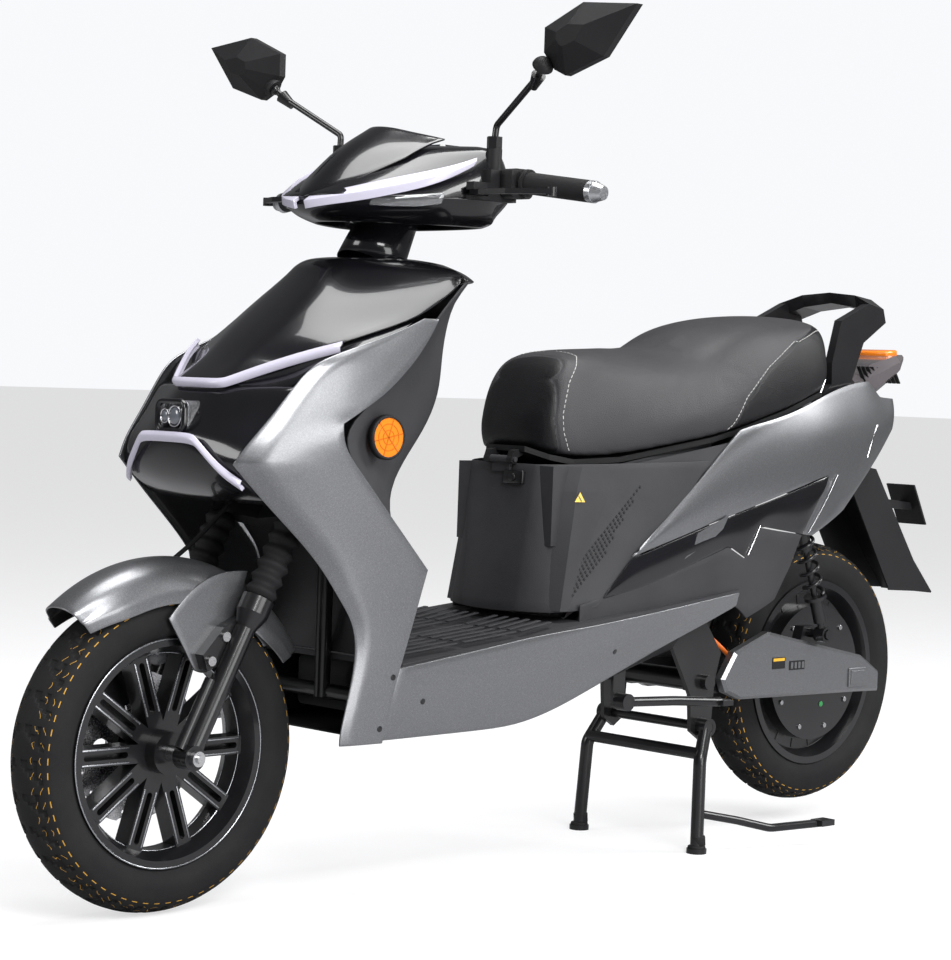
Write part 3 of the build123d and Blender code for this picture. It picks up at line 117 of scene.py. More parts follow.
def buildGrain():
    # moulded grain: a bump from cells and fine noise, and a roughness that drifts
    tree, inp, out = newGroup("mouldedGrain",
                              [("Scale", "NodeSocketFloat", 900.0), ("Depth", "NodeSocketFloat", 0.3),
                               ("Roughness", "NodeSocketFloat", 0.5)],
                              [("Normal", "NodeSocketVector"), ("Roughness", "NodeSocketFloat")])
    coords = tree.nodes.new("ShaderNodeTexCoord").outputs["Object"]
    cells = tree.nodes.new("ShaderNodeTexVoronoi")
    tree.links.new(coords, cells.inputs["Vector"])
    tree.links.new(inp.outputs["Scale"], cells.inputs["Scale"])
    fine = noiseNode(tree, coords, 2400.0, 3.0)
    height = mathNode(tree, "ADD", cells.outputs["Distance"], mathNode(tree, "MULTIPLY", fine, 0.4))
    tree.links.new(bumpNode(tree, height, 0.0004, inp.outputs["Depth"]), out.inputs["Normal"])
    broad = noiseNode(tree, coords, 14.0, 4.0)
    drift = mathNode(tree, "MULTIPLY_ADD", broad, 0.16, -0.08)
    tree.links.new(mathNode(tree, "ADD", drift, inp.outputs["Roughness"]), out.inputs["Roughness"])
    return tree


def buildWear():
    # slow colour drift between two tones, in broad patches
    tree, inp, out = newGroup("tonalDrift", [("Base", "NodeSocketColor", (0.5, 0.5, 0.5, 1)),
                                             ("Second", "NodeSocketColor", (0.4, 0.4, 0.4, 1)),
                                             ("Scale", "NodeSocketFloat", 9.0)],
                              [("Color", "NodeSocketColor")])
    coords = tree.nodes.new("ShaderNodeTexCoord").outputs["Object"]
    ramp = tree.nodes.new("ShaderNodeValToRGB")
    ramp.color_ramp.elements[0].position = 0.35
    ramp.color_ramp.elements[1].position = 0.7
    tree.links.new(noiseNode(tree, coords, inp.outputs["Scale"], 5.0, 0.6), ramp.inputs[0])
    mixed = mixColours(tree, ramp.outputs[0], inp.outputs["Base"], inp.outputs["Second"])
    tree.links.new(mixed, out.inputs["Color"])
    return tree


def buildFlakes():
    # metallic flakes: tiny cells that change the tone and the normal a little
    tree, inp, out = newGroup("metalFlakes", [("Base", "NodeSocketColor", (0.5, 0.5, 0.5, 1)),
                                              ("Glint", "NodeSocketColor", (0.8, 0.8, 0.8, 1))],
                              [("Color", "NodeSocketColor"), ("Normal", "NodeSocketVector")])
    coords = tree.nodes.new("ShaderNodeTexCoord").outputs["Object"]
    cells = tree.nodes.new("ShaderNodeTexVoronoi")
    cells.inputs["Scale"].default_value = 1700.0
    tree.links.new(coords, cells.inputs["Vector"])
    grey = tree.nodes.new("ShaderNodeRGBToBW")
    tree.links.new(cells.outputs["Color"], grey.inputs[0])
    mask = mathNode(tree, "MULTIPLY", mathNode(tree, "POWER", grey.outputs[0], 3.0), 0.8)
    mixed = mixColours(tree, mask, inp.outputs["Base"], inp.outputs["Glint"])
    tree.links.new(mixed, out.inputs["Color"])
    tree.links.new(bumpNode(tree, grey.outputs[0], 0.00005, 0.25), out.inputs["Normal"])
    return tree


def buildBrushed():
    # fine streaks along one axis, for turned and drawn metal
    tree, inp, out = newGroup("drawnMetal", [("Stretch", "NodeSocketVector", (1.0, 1.0, 1.0)),
                                             ("Roughness", "NodeSocketFloat", 0.3)],
                              [("Normal", "NodeSocketVector"), ("Roughness", "NodeSocketFloat")])
    coords = tree.nodes.new("ShaderNodeTexCoord").outputs["Object"]
    spread = tree.nodes.new("ShaderNodeVectorMath")
    spread.operation = "MULTIPLY"
    tree.links.new(coords, spread.inputs[0])
    tree.links.new(inp.outputs["Stretch"], spread.inputs[1])
    streaks = noiseNode(tree, spread.outputs[0], 300.0, 4.0, 0.7)
    tree.links.new(bumpNode(tree, streaks, 0.0001, 0.3), out.inputs["Normal"])
    drift = mathNode(tree, "MULTIPLY_ADD", streaks, 0.3, -0.15)
    tree.links.new(mathNode(tree, "ADD", drift, inp.outputs["Roughness"]), out.inputs["Roughness"])
    return tree


grainGroup = buildGrain()
driftGroup = buildWear()
flakeGroup = buildFlakes()
brushedGroup = buildBrushed()


def placeGroup(tree, group, values, shader, feeds):
    # a shared group in a material, with its own values, joined to the shader
    node = tree.nodes.new("ShaderNodeGroup")
    node.node_tree = group
    for key, value in values.items():
        node.inputs[key].default_value = value
    for output, socket in feeds.items():
        tree.links.new(node.outputs[output], shader.inputs[socket])


def finish(name, base, second=None, rough=0.5, metal=0.0, coat=0.0, coatRough=0.05, grain=0.0,
           grainScale=900.0, driftScale=9.0, brushed=None, flakes=None, spec=0.5):
    made = bpy.data.materials.new(name)
    made.use_nodes = True
    tree = made.node_tree
    shader = tree.nodes["Principled BSDF"]
    shader.inputs["Metallic"].default_value = metal
    shader.inputs["Roughness"].default_value = rough
    shader.inputs["Coat Weight"].default_value = coat
    shader.inputs["Coat Roughness"].default_value = coatRough
    shader.inputs["Specular IOR Level"].default_value = spec
    if flakes:
        placeGroup(tree, flakeGroup, {"Base": (*base, 1), "Glint": (*flakes, 1)}, shader,
                   {"Color": "Base Color", "Normal": "Normal"})
    else:
        tones = {"Base": (*base, 1), "Second": (*(second or [c * 0.8 for c in base]), 1), "Scale": driftScale}
        placeGroup(tree, driftGroup, tones, shader, {"Color": "Base Color"})
    surface = {"Normal": "Normal", "Roughness": "Roughness"}
    if grain:
        grained = {"Scale": grainScale, "Depth": grain, "Roughness": rough}
        placeGroup(tree, grainGroup, grained, shader, surface)
    if brushed:
        placeGroup(tree, brushedGroup, {"Stretch": brushed, "Roughness": rough}, shader, surface)
    return made


def clearFinish(name, base, rough, transmission=0.0, glow=0.0):
    made = finish(name, base, [c * 0.92 for c in base], rough=rough, coat=0.4)
    shader = made.node_tree.nodes["Principled BSDF"]
    shader.inputs["Transmission Weight"].default_value = transmission
    shader.inputs["IOR"].default_value = 1.47
    if glow:
        shader.inputs["Emission Color"].default_value = (*base, 1)
        shader.inputs["Emission Strength"].default_value = glow
    return made


silverPaint = finish("silverPaint", (0.15, 0.153, 0.160), rough=0.34, metal=0.80, coat=0.5,
                     coatRough=0.14, flakes=(0.34, 0.345, 0.36))
glossBlack = finish("glossBlack", (0.004, 0.004, 0.005), (0.006, 0.006, 0.008), rough=0.2, coat=0.55,
                    coatRough=0.03, spec=0.25)
greyPlastic = finish("greyPlastic", (0.034, 0.034, 0.037), (0.026, 0.026, 0.029), rough=0.60, grain=0.5,
                     spec=0.32)
blackPlastic = finish("blackPlastic", (0.007, 0.007, 0.008), (0.011, 0.011, 0.012), rough=0.55,
                      grain=0.35, spec=0.28)
blackMetal = finish("blackMetal", (0.006, 0.006, 0.007), (0.010, 0.010, 0.011), rough=0.32, coat=0.4,
                    coatRough=0.12, spec=0.3)
chassisPaint = finish("chassisPaint", (0.006, 0.006, 0.007), (0.011, 0.011, 0.011), rough=0.34, coat=0.5,
                      coatRough=0.1, spec=0.3)
tyreRubber = finish("tyreRubber", (0.020, 0.020, 0.021), (0.036, 0.035, 0.034), rough=0.78, grain=0.4,
                    grainScale=700, driftScale=16)
softRubber = finish("softRubber", (0.008, 0.008, 0.009), (0.013, 0.013, 0.014), rough=0.7, grain=0.6,
                    grainScale=600, spec=0.25)
plainSteel = finish("plainSteel", (0.56, 0.56, 0.57), (0.46, 0.46, 0.47), rough=0.3, metal=1.0,
                    brushed=(1, 1, 1))
discSteel = finish("discSteel", (0.60, 0.60, 0.61), (0.50, 0.50, 0.52), rough=0.26, metal=1.0,
                   brushed=(1, 8, 1))
chromeFinish = finish("chromeFinish", (0.75, 0.75, 0.77), (0.70, 0.70, 0.72), rough=0.08, metal=1.0)
satinAluminium = finish("satinAluminium", (0.58, 0.59, 0.61), (0.50, 0.51, 0.53), rough=0.34, metal=1.0,
                        brushed=(1, 1, 1))
rimBlack = finish("rimBlack", (0.006, 0.006, 0.007), (0.010, 0.010, 0.011), rough=0.3, coat=0.5,
                  coatRough=0.1, spec=0.3)
rimMachined = finish("rimMachined", (0.42, 0.43, 0.45), (0.34, 0.35, 0.37), rough=0.28, metal=1.0,
                     brushed=(1, 6, 1))
seatVinyl = finish("seatVinyl", (0.034, 0.033, 0.036), (0.027, 0.027, 0.029), rough=0.46, grain=0.9,
                   grainScale=620, spec=0.4)
seatBlack = finish("seatBlack", (0.006, 0.006, 0.007), (0.010, 0.010, 0.011), rough=0.42, grain=0.7,
                   grainScale=620, spec=0.28)
stitchThread = finish("stitchThread", (0.66, 0.66, 0.64), rough=0.7, grain=0.5, grainScale=1800)
frostedLens = clearFinish("frostedLens", (0.52, 0.50, 0.60), 0.28, glow=0.05)
clearLens = clearFinish("clearLens", (0.93, 0.94, 0.97), 0.04, transmission=0.92)
smokedLens = clearFinish("smokedLens", (0.10, 0.09, 0.095), 0.1)
amberLens = clearFinish("amberLens", (0.85, 0.22, 0.015), 0.16)
orangeSleeve = finish("orangeSleeve", (0.78, 0.16, 0.01), rough=0.5, grain=0.3)
mirrorSilver = finish("mirrorSilver", (0.82, 0.83, 0.84), (0.80, 0.81, 0.82), rough=0.02, metal=1.0)
displayGlass = finish("displayGlass", (0.008, 0.009, 0.012), rough=0.12, coat=1.0)
signYellow = finish("signYellow", (0.80, 0.52, 0.02), rough=0.35, coat=0.3)
amberDeep = finish("amberDeep", (0.55, 0.13, 0.005), (0.45, 0.10, 0.004), rough=0.25, coat=0.6)
projectorGlass = finish("projectorGlass", (0.10, 0.11, 0.13), (0.16, 0.17, 0.19), rough=0.06, coat=1.0,
                        coatRough=0.02)
tyreYellow = finish("tyreYellow", (0.68, 0.38, 0.02), rough=0.6)
greenDot = finish("greenDot", (0.05, 0.45, 0.12), rough=0.5)
print("finishes made")

# what each node of the frame is made of
cadFinishes = [
    (chassisPaint, ["main_frame", "steering_yoke"]),
    (blackPlastic, ["battery_pack", "hand_controls", "horn_button", "start_button", "turn_switch",
                    "mirror_head_left", "mirror_head_right", "belly_pan", "rear_mudguard", "seat_base"]),
    (blackMetal, ["handlebar", "mirror_stems", "brake_lever_left", "brake_lever_right", "fork_sliders",
                  "front_caliper", "swingarm", "shock_bodies", "shock_springs", "shock_rods",
                  "centre_stand", "side_stand", "grab_rail", "body_screws"]),
    (softRubber, ["left_grip", "throttle_grip", "fork_gaiters", "brake_hose"]),
    (silverPaint, ["front_fender", "swingarm_cover", "leg_shields", "sill_panels", "rear_panels"]),
    (glossBlack, ["handlebar_cover", "visor_screen", "hood_cover", "nose_cover", "accent_panels"]),
    (greyPlastic, ["inner_shield", "floorboard", "seat_box"]),
    (frostedLens, ["head_lamps", "light_bars"]), (clearLens, ["headlight"]),
    (amberLens, ["side_reflectors"]), (smokedLens, ["tail_lamp"]), (displayGlass, ["dash_display"]),
    (mirrorSilver, ["mirror_glass_left", "mirror_glass_right"]), (satinAluminium, ["bar_ends"]),
    (rimBlack, ["front_rim", "hub_motor"]), (tyreRubber, ["front_tyre", "rear_tyre"]),
    (discSteel, ["front_disc"]), (plainSteel, ["fork_fasteners"]), (orangeSleeve, ["motor_cable"]),
    (seatVinyl, ["seat_cushion"]),
]
for look, nodeNames in cadFinishes:
    for nodeName in nodeNames:
        nodes[nodeName].data.materials.clear()
        nodes[nodeName].data.materials.append(look)
print("frame finishes set")


# mesh helpers
sharpFrom = math.radians(38)  # edges that turn by more than this are softened


def link(made, body):
    # into the scene, riding on its body
    bpy.context.collection.objects.link(made)
    if body:
        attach(made, body)
    return made


def keep(name, mesh, body, look, smooth=True):
    data = bpy.data.meshes.new(name)
    mesh.to_mesh(data)
    mesh.free()
    for one in look if isinstance(look, (list, tuple)) else [look]:
        data.materials.append(one)
    if smooth:
        data.shade_smooth()
    return link(bpy.data.objects.new(name, data), body)


def addModifier(made, kind, **values):
    modifier = made.modifiers.new(kind.lower(), kind)
    for key, value in values.items():
        setattr(modifier, key, value)
    return modifier


def bridgeRows(mesh, rows, closed=False):
    # rows of points joined one after another into a sheet
    made = []
    lines = []
    for row in rows:
        line = [mesh.verts.new(Vector(point) * mm) for point in row]
        made.append(line)
        count = len(line)
        joins = count if closed else count - 1
        lines.append([mesh.edges.new((line[i], line[(i + 1) % count])) for i in range(joins)])
    for first, second in zip(lines, lines[1:]):
        bmesh.ops.bridge_loops(mesh, edges=first + second)
    return made


def creaseEdge(mesh, layer, first, second, amount):
    edge = mesh.edges.get((first, second))
    if edge:
        edge[layer] = amount


def sheetPiece(name, rows, body, look, wall=3.0, outward=(0, 0, 1), closed=False, mirrored=True,
               foldColumns=(), foldRows=(), sharp=(), caps=False, levels=2, edge=0.9, fold=0.85, replaces=()):
    # a moulded panel: rows of points, subdivided, given a wall inwards and softened edges
    mesh = bmesh.new()
    creases = mesh.edges.layers.float.new("crease_edge")
    corners = mesh.verts.layers.float.new("crease_vert")
    points = bridgeRows(mesh, rows, closed)
    if caps:
        for line in (points[0], points[-1]):
            mesh.faces.new(line)
    bmesh.ops.recalc_face_normals(mesh, faces=mesh.faces)
    if not (closed and caps):
        facing = sum((face.normal * face.calc_area() for face in mesh.faces), Vector())
        if facing.dot(Vector(outward)) < 0:
            bmesh.ops.reverse_faces(mesh, faces=mesh.faces)
    for column in foldColumns:
        for upper, lower in zip(points, points[1:]):
            creaseEdge(mesh, creases, upper[column], lower[column], fold)
    for row in foldRows:
        for left, right in zip(points[row], points[row][1:]):
            creaseEdge(mesh, creases, left, right, fold)
        if closed:
            creaseEdge(mesh, creases, points[row][-1], points[row][0], fold)
    for row, column in sharp:
        points[row][column][corners] = 1.0
    made = keep(name, mesh, body, look)
    if mirrored:
        addModifier(made, "MIRROR", use_axis=(False, True, False), merge_threshold=0.0008)
    addModifier(made, "SUBSURF", levels=levels, render_levels=levels, boundary_smooth="PRESERVE_CORNERS")
    if wall and not caps:
        addModifier(made, "SOLIDIFY", thickness=wall * mm, offset=-1.0)
    if edge:
        addModifier(made, "BEVEL", width=edge * mm, segments=2, limit_method="ANGLE", angle_limit=sharpFrom)
    if replaces:
        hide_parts(*replaces)
    return made


def between(first, second, share):
    return tuple(a + (b - a) * share for a, b in zip(first, second))


def tubePiece(name, points, radius, body, look, order=3, mirrored=False):
    # a round rod along a smooth line
    curve = bpy.data.curves.new(name, "CURVE")
    curve.dimensions = "3D"
    curve.bevel_depth = radius * mm
    curve.bevel_resolution = 4
    curve.resolution_u = 8
    curve.use_fill_caps = True
    for side in (1, -1) if mirrored else (1,):
        spline = curve.splines.new("NURBS")
        spline.points.add(len(points) - 1)
        for knot, (x, y, z) in zip(spline.points, points):
            knot.co = (x * mm, y * side * mm, z * mm, 1)
        spline.order_u = order
        spline.use_endpoint_u = True
    holder = bpy.data.objects.new(name, curve)
    bpy.context.collection.objects.link(holder)
    bpy.context.view_layer.update()
    data = bpy.data.meshes.new_from_object(holder)
    bpy.data.objects.remove(holder)
    data.materials.append(look)
    data.shade_smooth()
    return link(bpy.data.objects.new(name, data), body)


def softened(mesh, made, edges, soft):
    # rounds the edges, and gives every vertex that the block has then
    grown = bmesh.ops.bevel(mesh, geom=edges, offset=soft * mm, segments=2, profile=0.5, affect="EDGES",
                            material=-1)
    return list({vert for face in grown["faces"] for vert in face.verts} | {v for v in made if v.is_valid})


def addBox(mesh, centre, size, turn=None, soft=0.6):
    # a small block with softened edges
    made = bmesh.ops.create_cube(mesh, size=1.0)["verts"]
    bmesh.ops.scale(mesh, verts=made, vec=Vector(size) * mm)
    if soft:
        edges = list({edge for vert in made for edge in vert.link_edges})
        made = softened(mesh, made, edges, soft)
    if turn is not None:
        bmesh.ops.transform(mesh, verts=made, matrix=turn.to_4x4())
    bmesh.ops.translate(mesh, verts=made, vec=Vector(centre) * mm)
    return made


def addDisc(mesh, centre, axis, radius, depth, sides=32, soft=0.5):
    # a short round plug along an axis, centred on a place
    made = bmesh.ops.create_cone(mesh, cap_ends=True, segments=sides, radius1=radius * mm,
                                 radius2=radius * mm, depth=depth * mm)["verts"]
    if soft:
        rims = list({edge for vert in made for edge in vert.link_edges
                     if abs(edge.verts[0].co.z - edge.verts[1].co.z) < 1e-6})
        made = softened(mesh, made, rims, soft)
        made = list({vert for start in made for edge in start.link_edges for vert in edge.verts} | set(made))
    turn = Vector(axis).to_track_quat("Z", "Y").to_matrix().to_4x4()
    bmesh.ops.transform(mesh, verts=made, matrix=turn)
    bmesh.ops.translate(mesh, verts=made, vec=Vector(centre) * mm)
    return made


def spinRing(mesh, outline, centre, steps, axis=(0, 1, 0)):
    # a closed outline turned once round an axis through a place
    ring = [mesh.verts.new(Vector(point) * mm) for point in outline]
    loop = [mesh.edges.new((ring[i], ring[(i + 1) % len(ring)])) for i in range(len(ring))]
    bmesh.ops.spin(mesh, geom=ring + loop, cent=Vector(centre) * mm, axis=axis, angle=math.tau, steps=steps,
                   use_merge=True)


def shapedMesh(made):
    # the piece's mesh as its live modifiers leave it
    bpy.context.view_layer.update()
    return made.evaluated_get(bpy.context.evaluated_depsgraph_get()).to_mesh()


def treeOf(shape):
    # a mesh's surface, for finding places on it
    return BVHTree.FromPolygons([vert.co.copy() for vert in shape.vertices],
                                [list(face.vertices) for face in shape.polygons])


def level(z, half):
    return [(x, y, z) for x, y in half]


# headset: cover, visor and lamps
headset = {
    "cover": [
        level(1008, [(500, 0), (482, 48), (428, 94), (350, 134), (300, 138), (276, 96), (270, 0)]),
        level(1015, [(528, 0), (511, 52), (445, 104), (352, 150), (292, 158), (264, 108), (260, 0)]),
        level(1026, [(540, 0), (524, 58), (478, 106), (392, 152), (316, 172), (258, 140), (250, 0)]),
        level(1046, [(545, 0), (532, 62), (503, 100), (427, 150), (335, 188), (252, 174), (240, 0)]),
        level(1066, [(512, 0), (505, 56), (480, 97), (414, 147), (333, 188), (250, 173), (239, 0)]),
        level(1085, [(477, 0), (472, 48), (451, 92), (397, 142), (330, 187), (250, 171), (239, 0)]),
        level(1110, [(438, 0), (434, 40), (414, 82), (375, 130), (327, 176), (256, 162), (244, 0)]),
        level(1127, [(414, 0), (408, 34), (388, 74), (358, 118), (323, 166), (264, 153), (250, 0)]),
        level(1131, [(380, 0), (376, 30), (360, 60), (336, 96), (312, 130), (280, 120), (268, 0)]),
    ],
    "visor": [
        [(549, 0, 1040), (484, 0, 1109), (440, 0, 1138), (404, 0, 1160)],
        [(530, 28, 1050), (466, 28, 1114), (424, 28, 1140), (392, 28, 1158)],
        [(508, 50, 1061), (446, 50, 1118), (408, 50, 1138), (378, 50, 1152)],
        [(466, 74, 1084), (418, 76, 1120), (390, 78, 1134), (364, 80, 1146)],
        [(420, 92, 1108), (392, 96, 1124), (370, 98, 1134), (348, 99, 1141)],
    ],
    "strip": [
        [(546, 12, 1024), (550, 12, 1036), (538, 12, 1044)],
        [(536, 50, 1030), (538, 52, 1041), (524, 50, 1052)],
        [(510, 88, 1036), (508, 92, 1050), (492, 88, 1064)],
        [(478, 118, 1046), (474, 122, 1060), (462, 114, 1074)],
        [(432, 150, 1060), (428, 154, 1074), (420, 146, 1086)],
        [(392, 168, 1078), (388, 172, 1090), (382, 166, 1098)],
        [(362, 178, 1096), (359, 181, 1104), (356, 178, 1109)],
    ],
    "signal": [
        [(494, 96, 1031), (496, 100, 1037), (490, 101, 1043)],
        [(462, 122, 1030), (464, 126, 1040), (458, 127, 1048)],
        [(430, 144, 1032), (431, 148, 1042), (426, 149, 1052)],
        [(406, 158, 1038), (406, 161, 1046), (403, 162, 1054)],
    ],
}
sheetPiece("nacelleCover", headset["cover"], "steering", glossBlack,
           outward=(1, 0, 0), foldRows=(3,), foldColumns=(4,), fold=0.6, replaces=("handlebar_cover",))
sheetPiece("flyScreen", headset["visor"], "steering", glossBlack, outward=(1, 0, 1),
           foldColumns=(2,), fold=0.5, replaces=("visor_screen",))
sheetPiece("lampStrips", headset["strip"], "steering", frostedLens, wall=5,
           outward=(1, 1, 0), foldColumns=(1,), fold=0.7, replaces=("head_lamps",))
sheetPiece("signalLenses", headset["signal"], "steering", clearLens, wall=4,
           outward=(1, 1, 0))
mesh = bmesh.new()
neckRings = [(0.0, 52), (30.0, 50), (70.0, 46), (104.0, 43)]
neckFoot = 0.806  # how far up the steering axis the lowest ring stands
neckTilt = math.radians(28)
neckAxis = Vector((-math.sin(neckTilt), 0, math.cos(neckTilt)))
neckStart = Vector((0.816, 0, 0.233)) - Vector((0.031, 0, 0))
neckTurn = neckAxis.to_track_quat("Z", "Y").to_matrix().to_4x4()
loops = []
for rise, radius in neckRings:
    ringVerts = bmesh.ops.create_circle(mesh, segments=32, radius=radius * mm)["verts"]
    bmesh.ops.transform(mesh, verts=ringVerts, matrix=neckTurn)
    bmesh.ops.translate(mesh, verts=ringVerts, vec=neckStart + neckAxis * (neckFoot + rise * mm))
    loops.append(list({edge for vert in ringVerts for edge in vert.link_edges}))
for first, second in zip(loops, loops[1:]):
    bmesh.ops.bridge_loops(mesh, edges=first + second)
bmesh.ops.recalc_face_normals(mesh, faces=mesh.faces)
neckPiece = keep("nacelleNeck", mesh, "steering", glossBlack)
addModifier(neckPiece, "SOLIDIFY", thickness=0.003, offset=-1.0)
print("headset made")

# front body: hood, nose, light bars, leg shields, inner shield
front = {
    "hood": [
        level(768, [(727, 0), (724, 46), (721, 54), (716, 62)]),
        level(784, [(706, 0), (702, 46), (690, 68), (676, 88)]),
        level(800, [(686, 0), (680, 45), (655, 82), (633, 116)]),
        level(830, [(652, 0), (646, 48), (618, 106), (588, 158)]),
        level(862, [(615, 0), (608, 50), (566, 122), (483, 190)]),
        level(895, [(577, 0), (569, 50), (520, 124), (432, 194)]),
        level(926, [(541, 0), (532, 46), (470, 119), (385, 194)]),
        level(940, [(527, 0), (518, 44), (460, 110), (384, 172)]),
        level(953, [(508, 0), (500, 40), (450, 88), (392, 118)]),
        level(957, [(470, 0), (466, 30), (440, 58), (400, 76)]),
    ],
    "hoodRear": [
        [(400, 76, 957), (392, 118, 953), (384, 172, 940), (385, 194, 926)],
        [(384, 78, 957), (372, 116, 952), (362, 168, 938), (360, 191, 925)],
        [(340, 72, 955), (334, 100, 950), (326, 130, 936), (322, 138, 924)],
        [(318, 40, 953), (308, 62, 948), (300, 84, 934), (296, 92, 923)],
        [(308, 0, 952), (296, 0, 947), (288, 0, 933), (284, 0, 922)],
    ],
    "nose": [
        level(590, [(690, 0), (690, 30), (688, 60), (685, 96), (684, 128)]),
        level(598, [(716, 0), (716, 32), (714, 62), (709, 100), (704, 137)]),
        level(619, [(757, 0), (756, 34), (754, 66), (747, 102), (738, 136)]),
        level(650, [(774, 0), (773, 34), (771, 64), (768, 100), (762, 133)]),
        level(684, [(777, 0), (776, 32), (771, 58), (756, 98), (740, 142)]),
        level(725, [(752, 0), (751, 30), (747, 54), (727, 98), (704, 149)]),
        level(757, [(731, 0), (730, 28), (726, 50), (704, 100), (681, 156)]),
        level(761, [(716, 0), (715, 28), (711, 48), (692, 96), (672, 150)]),
    ],
    "upperBar": [
        [(602, 167, 812), (606, 169, 820), (600, 168, 828)],
        [(640, 138, 798), (645, 140, 806), (639, 138, 814)],
        [(682, 98, 778), (688, 100, 786), (682, 98, 794)],
        [(722, 60, 757), (729, 62, 764), (724, 60, 771)],
        [(730, 52, 755), (737, 53, 762), (731, 52, 769)],
        [(735, 28, 755), (741, 28, 762), (735, 28, 769)],
        [(736, 0, 755), (742, 0, 762), (736, 0, 769)],
    ],
    "lowerBar": [
        [(745, 131, 612), (754, 133, 619), (747, 132, 627)],
        [(764, 108, 630), (773, 109, 637), (766, 108, 646)],
        [(772, 84, 652), (781, 85, 660), (774, 84, 668)],
        [(779, 64, 672), (787, 64, 680), (780, 63, 688)],
        [(781, 50, 676), (789, 50, 684), (782, 50, 691)],
        [(782, 0, 676), (790, 0, 684), (783, 0, 691)],
    ],
    "legShield": [
        [(576, 163, 243), (560, 167, 243), (530, 169, 243), (499, 170, 243)],
        [(577, 164, 263), (560, 168, 263), (528, 170, 263), (495, 171, 263)],
        [(561, 164, 320), (545, 169, 320), (514, 172, 320), (483, 174, 320)],
        [(549, 164, 382), (533, 171, 382), (498, 175, 382), (464, 177, 382)],
        [(558, 162, 425), (540, 172, 425), (500, 177, 425), (452, 180, 425)],
        [(583, 160, 456), (560, 172, 456), (505, 178, 456), (444, 182, 456)],
        [(608, 153, 497), (580, 171, 497), (512, 180, 497), (433, 185, 497)],
        [(652, 147, 543), (625, 167, 543), (560, 181, 543), (481, 190, 543)],
        [(711, 140, 594), (682, 161, 594), (612, 180, 594), (531, 191, 594)],
        [(766, 134, 649), (735, 158, 649), (668, 178, 649), (584, 192, 649)],
        [(749, 143, 679), (722, 162, 679), (672, 180, 679), (613, 194, 679)],
        [(720, 151, 711), (698, 166, 711), (658, 183, 711), (615, 195, 711)],
        [(688, 159, 753), (664, 174, 753), (612, 188, 753), (539, 198, 753)],
        [(656, 167, 793), (630, 180, 793), (572, 193, 793), (497, 200, 793)],
        [(613, 173, 811), (592, 184, 811), (540, 195, 811), (479, 200, 811)],
        [(520, 193, 842), (508, 196, 842), (484, 199, 842), (456, 201, 842)],
        [(470, 199, 866), (462, 200, 866), (452, 201, 866), (442, 201, 866)],
    ],
    "innerShield": [
        level(360, [(457, 0), (459, 60), (460, 112), (462, 145), (464, 168)]),
        level(380, [(448, 0), (451, 60), (455, 114), (458, 146), (461, 171)]),
        level(430, [(437, 0), (441, 62), (446, 118), (450, 148), (455, 172)]),
        level(497, [(425, 0), (430, 62), (439, 110), (444, 142), (447, 178)]),
        level(540, [(421, 0), (427, 58), (446, 100), (462, 140), (484, 182)]),
        level(600, [(417, 0), (421, 58), (440, 96), (470, 140), (536, 181)]),
        level(655, [(399, 0), (403, 62), (418, 110), (480, 150), (588, 184)]),
        level(700, [(353, 0), (358, 64), (374, 108), (472, 152), (612, 187)]),
        level(755, [(323, 0), (328, 62), (338, 102), (442, 150), (538, 189)]),
        level(811, [(319, 0), (323, 60), (334, 98), (426, 150), (478, 192)]),
        level(862, [(307, 0), (313, 60), (328, 98), (394, 150), (444, 193)]),
        level(922, [(290, 0), (294, 50), (306, 98), (362, 180), (382, 192)]),
    ],
}
sheetPiece("hoodShell", front["hood"], "root", glossBlack, outward=(1, 0, 1),
           foldColumns=(1,), fold=0.45, foldRows=(7,), replaces=("hood_cover",))
sheetPiece("hoodRearShell", front["hoodRear"], "root", glossBlack,
           outward=(-0.3, 0, 1), foldColumns=(1,), fold=0.4)
sheetPiece("noseShell", front["nose"], "root", glossBlack, outward=(1, 0, 0),
           foldRows=(1, 4), fold=0.55, replaces=("nose_cover",))
skirtRows = [[(714, 56, 765), (672, 86, 780), (630, 113, 797), (584, 153, 827), (480, 186, 860)],
             [(702, 88, 756), (668, 150, 758), (650, 162, 790), (606, 168, 808), (516, 188, 838)]]
sheetPiece("hoodSkirt", skirtRows, "root", glossBlack, outward=(0.5, 1, 0))
sheetPiece("upperLightBar", front["upperBar"], "root", frostedLens, wall=6,
           outward=(1, 0.6, 0), foldRows=(3,), fold=0.4, replaces=("light_bars",))
sheetPiece("lowerLightBar", front["lowerBar"], "root", frostedLens, wall=6,
           outward=(1, 0.6, 0), foldRows=(3,), fold=0.4)
legPiece = sheetPiece("legShields", front["legShield"], "root", silverPaint,
                      outward=(0, 1, 0), foldColumns=(1,), foldRows=(9,), fold=0.55,
                      replaces=("leg_shields",), sharp=((9, 0), (16, 3), (0, 0), (0, 3), (6, 3), (11, 3)))
sheetPiece("innerShieldShell", front["innerShield"], "root", greyPlastic,
           outward=(-1, 0, 0), foldColumns=(2,), fold=0.35, replaces=("inner_shield",))
print("front body made")


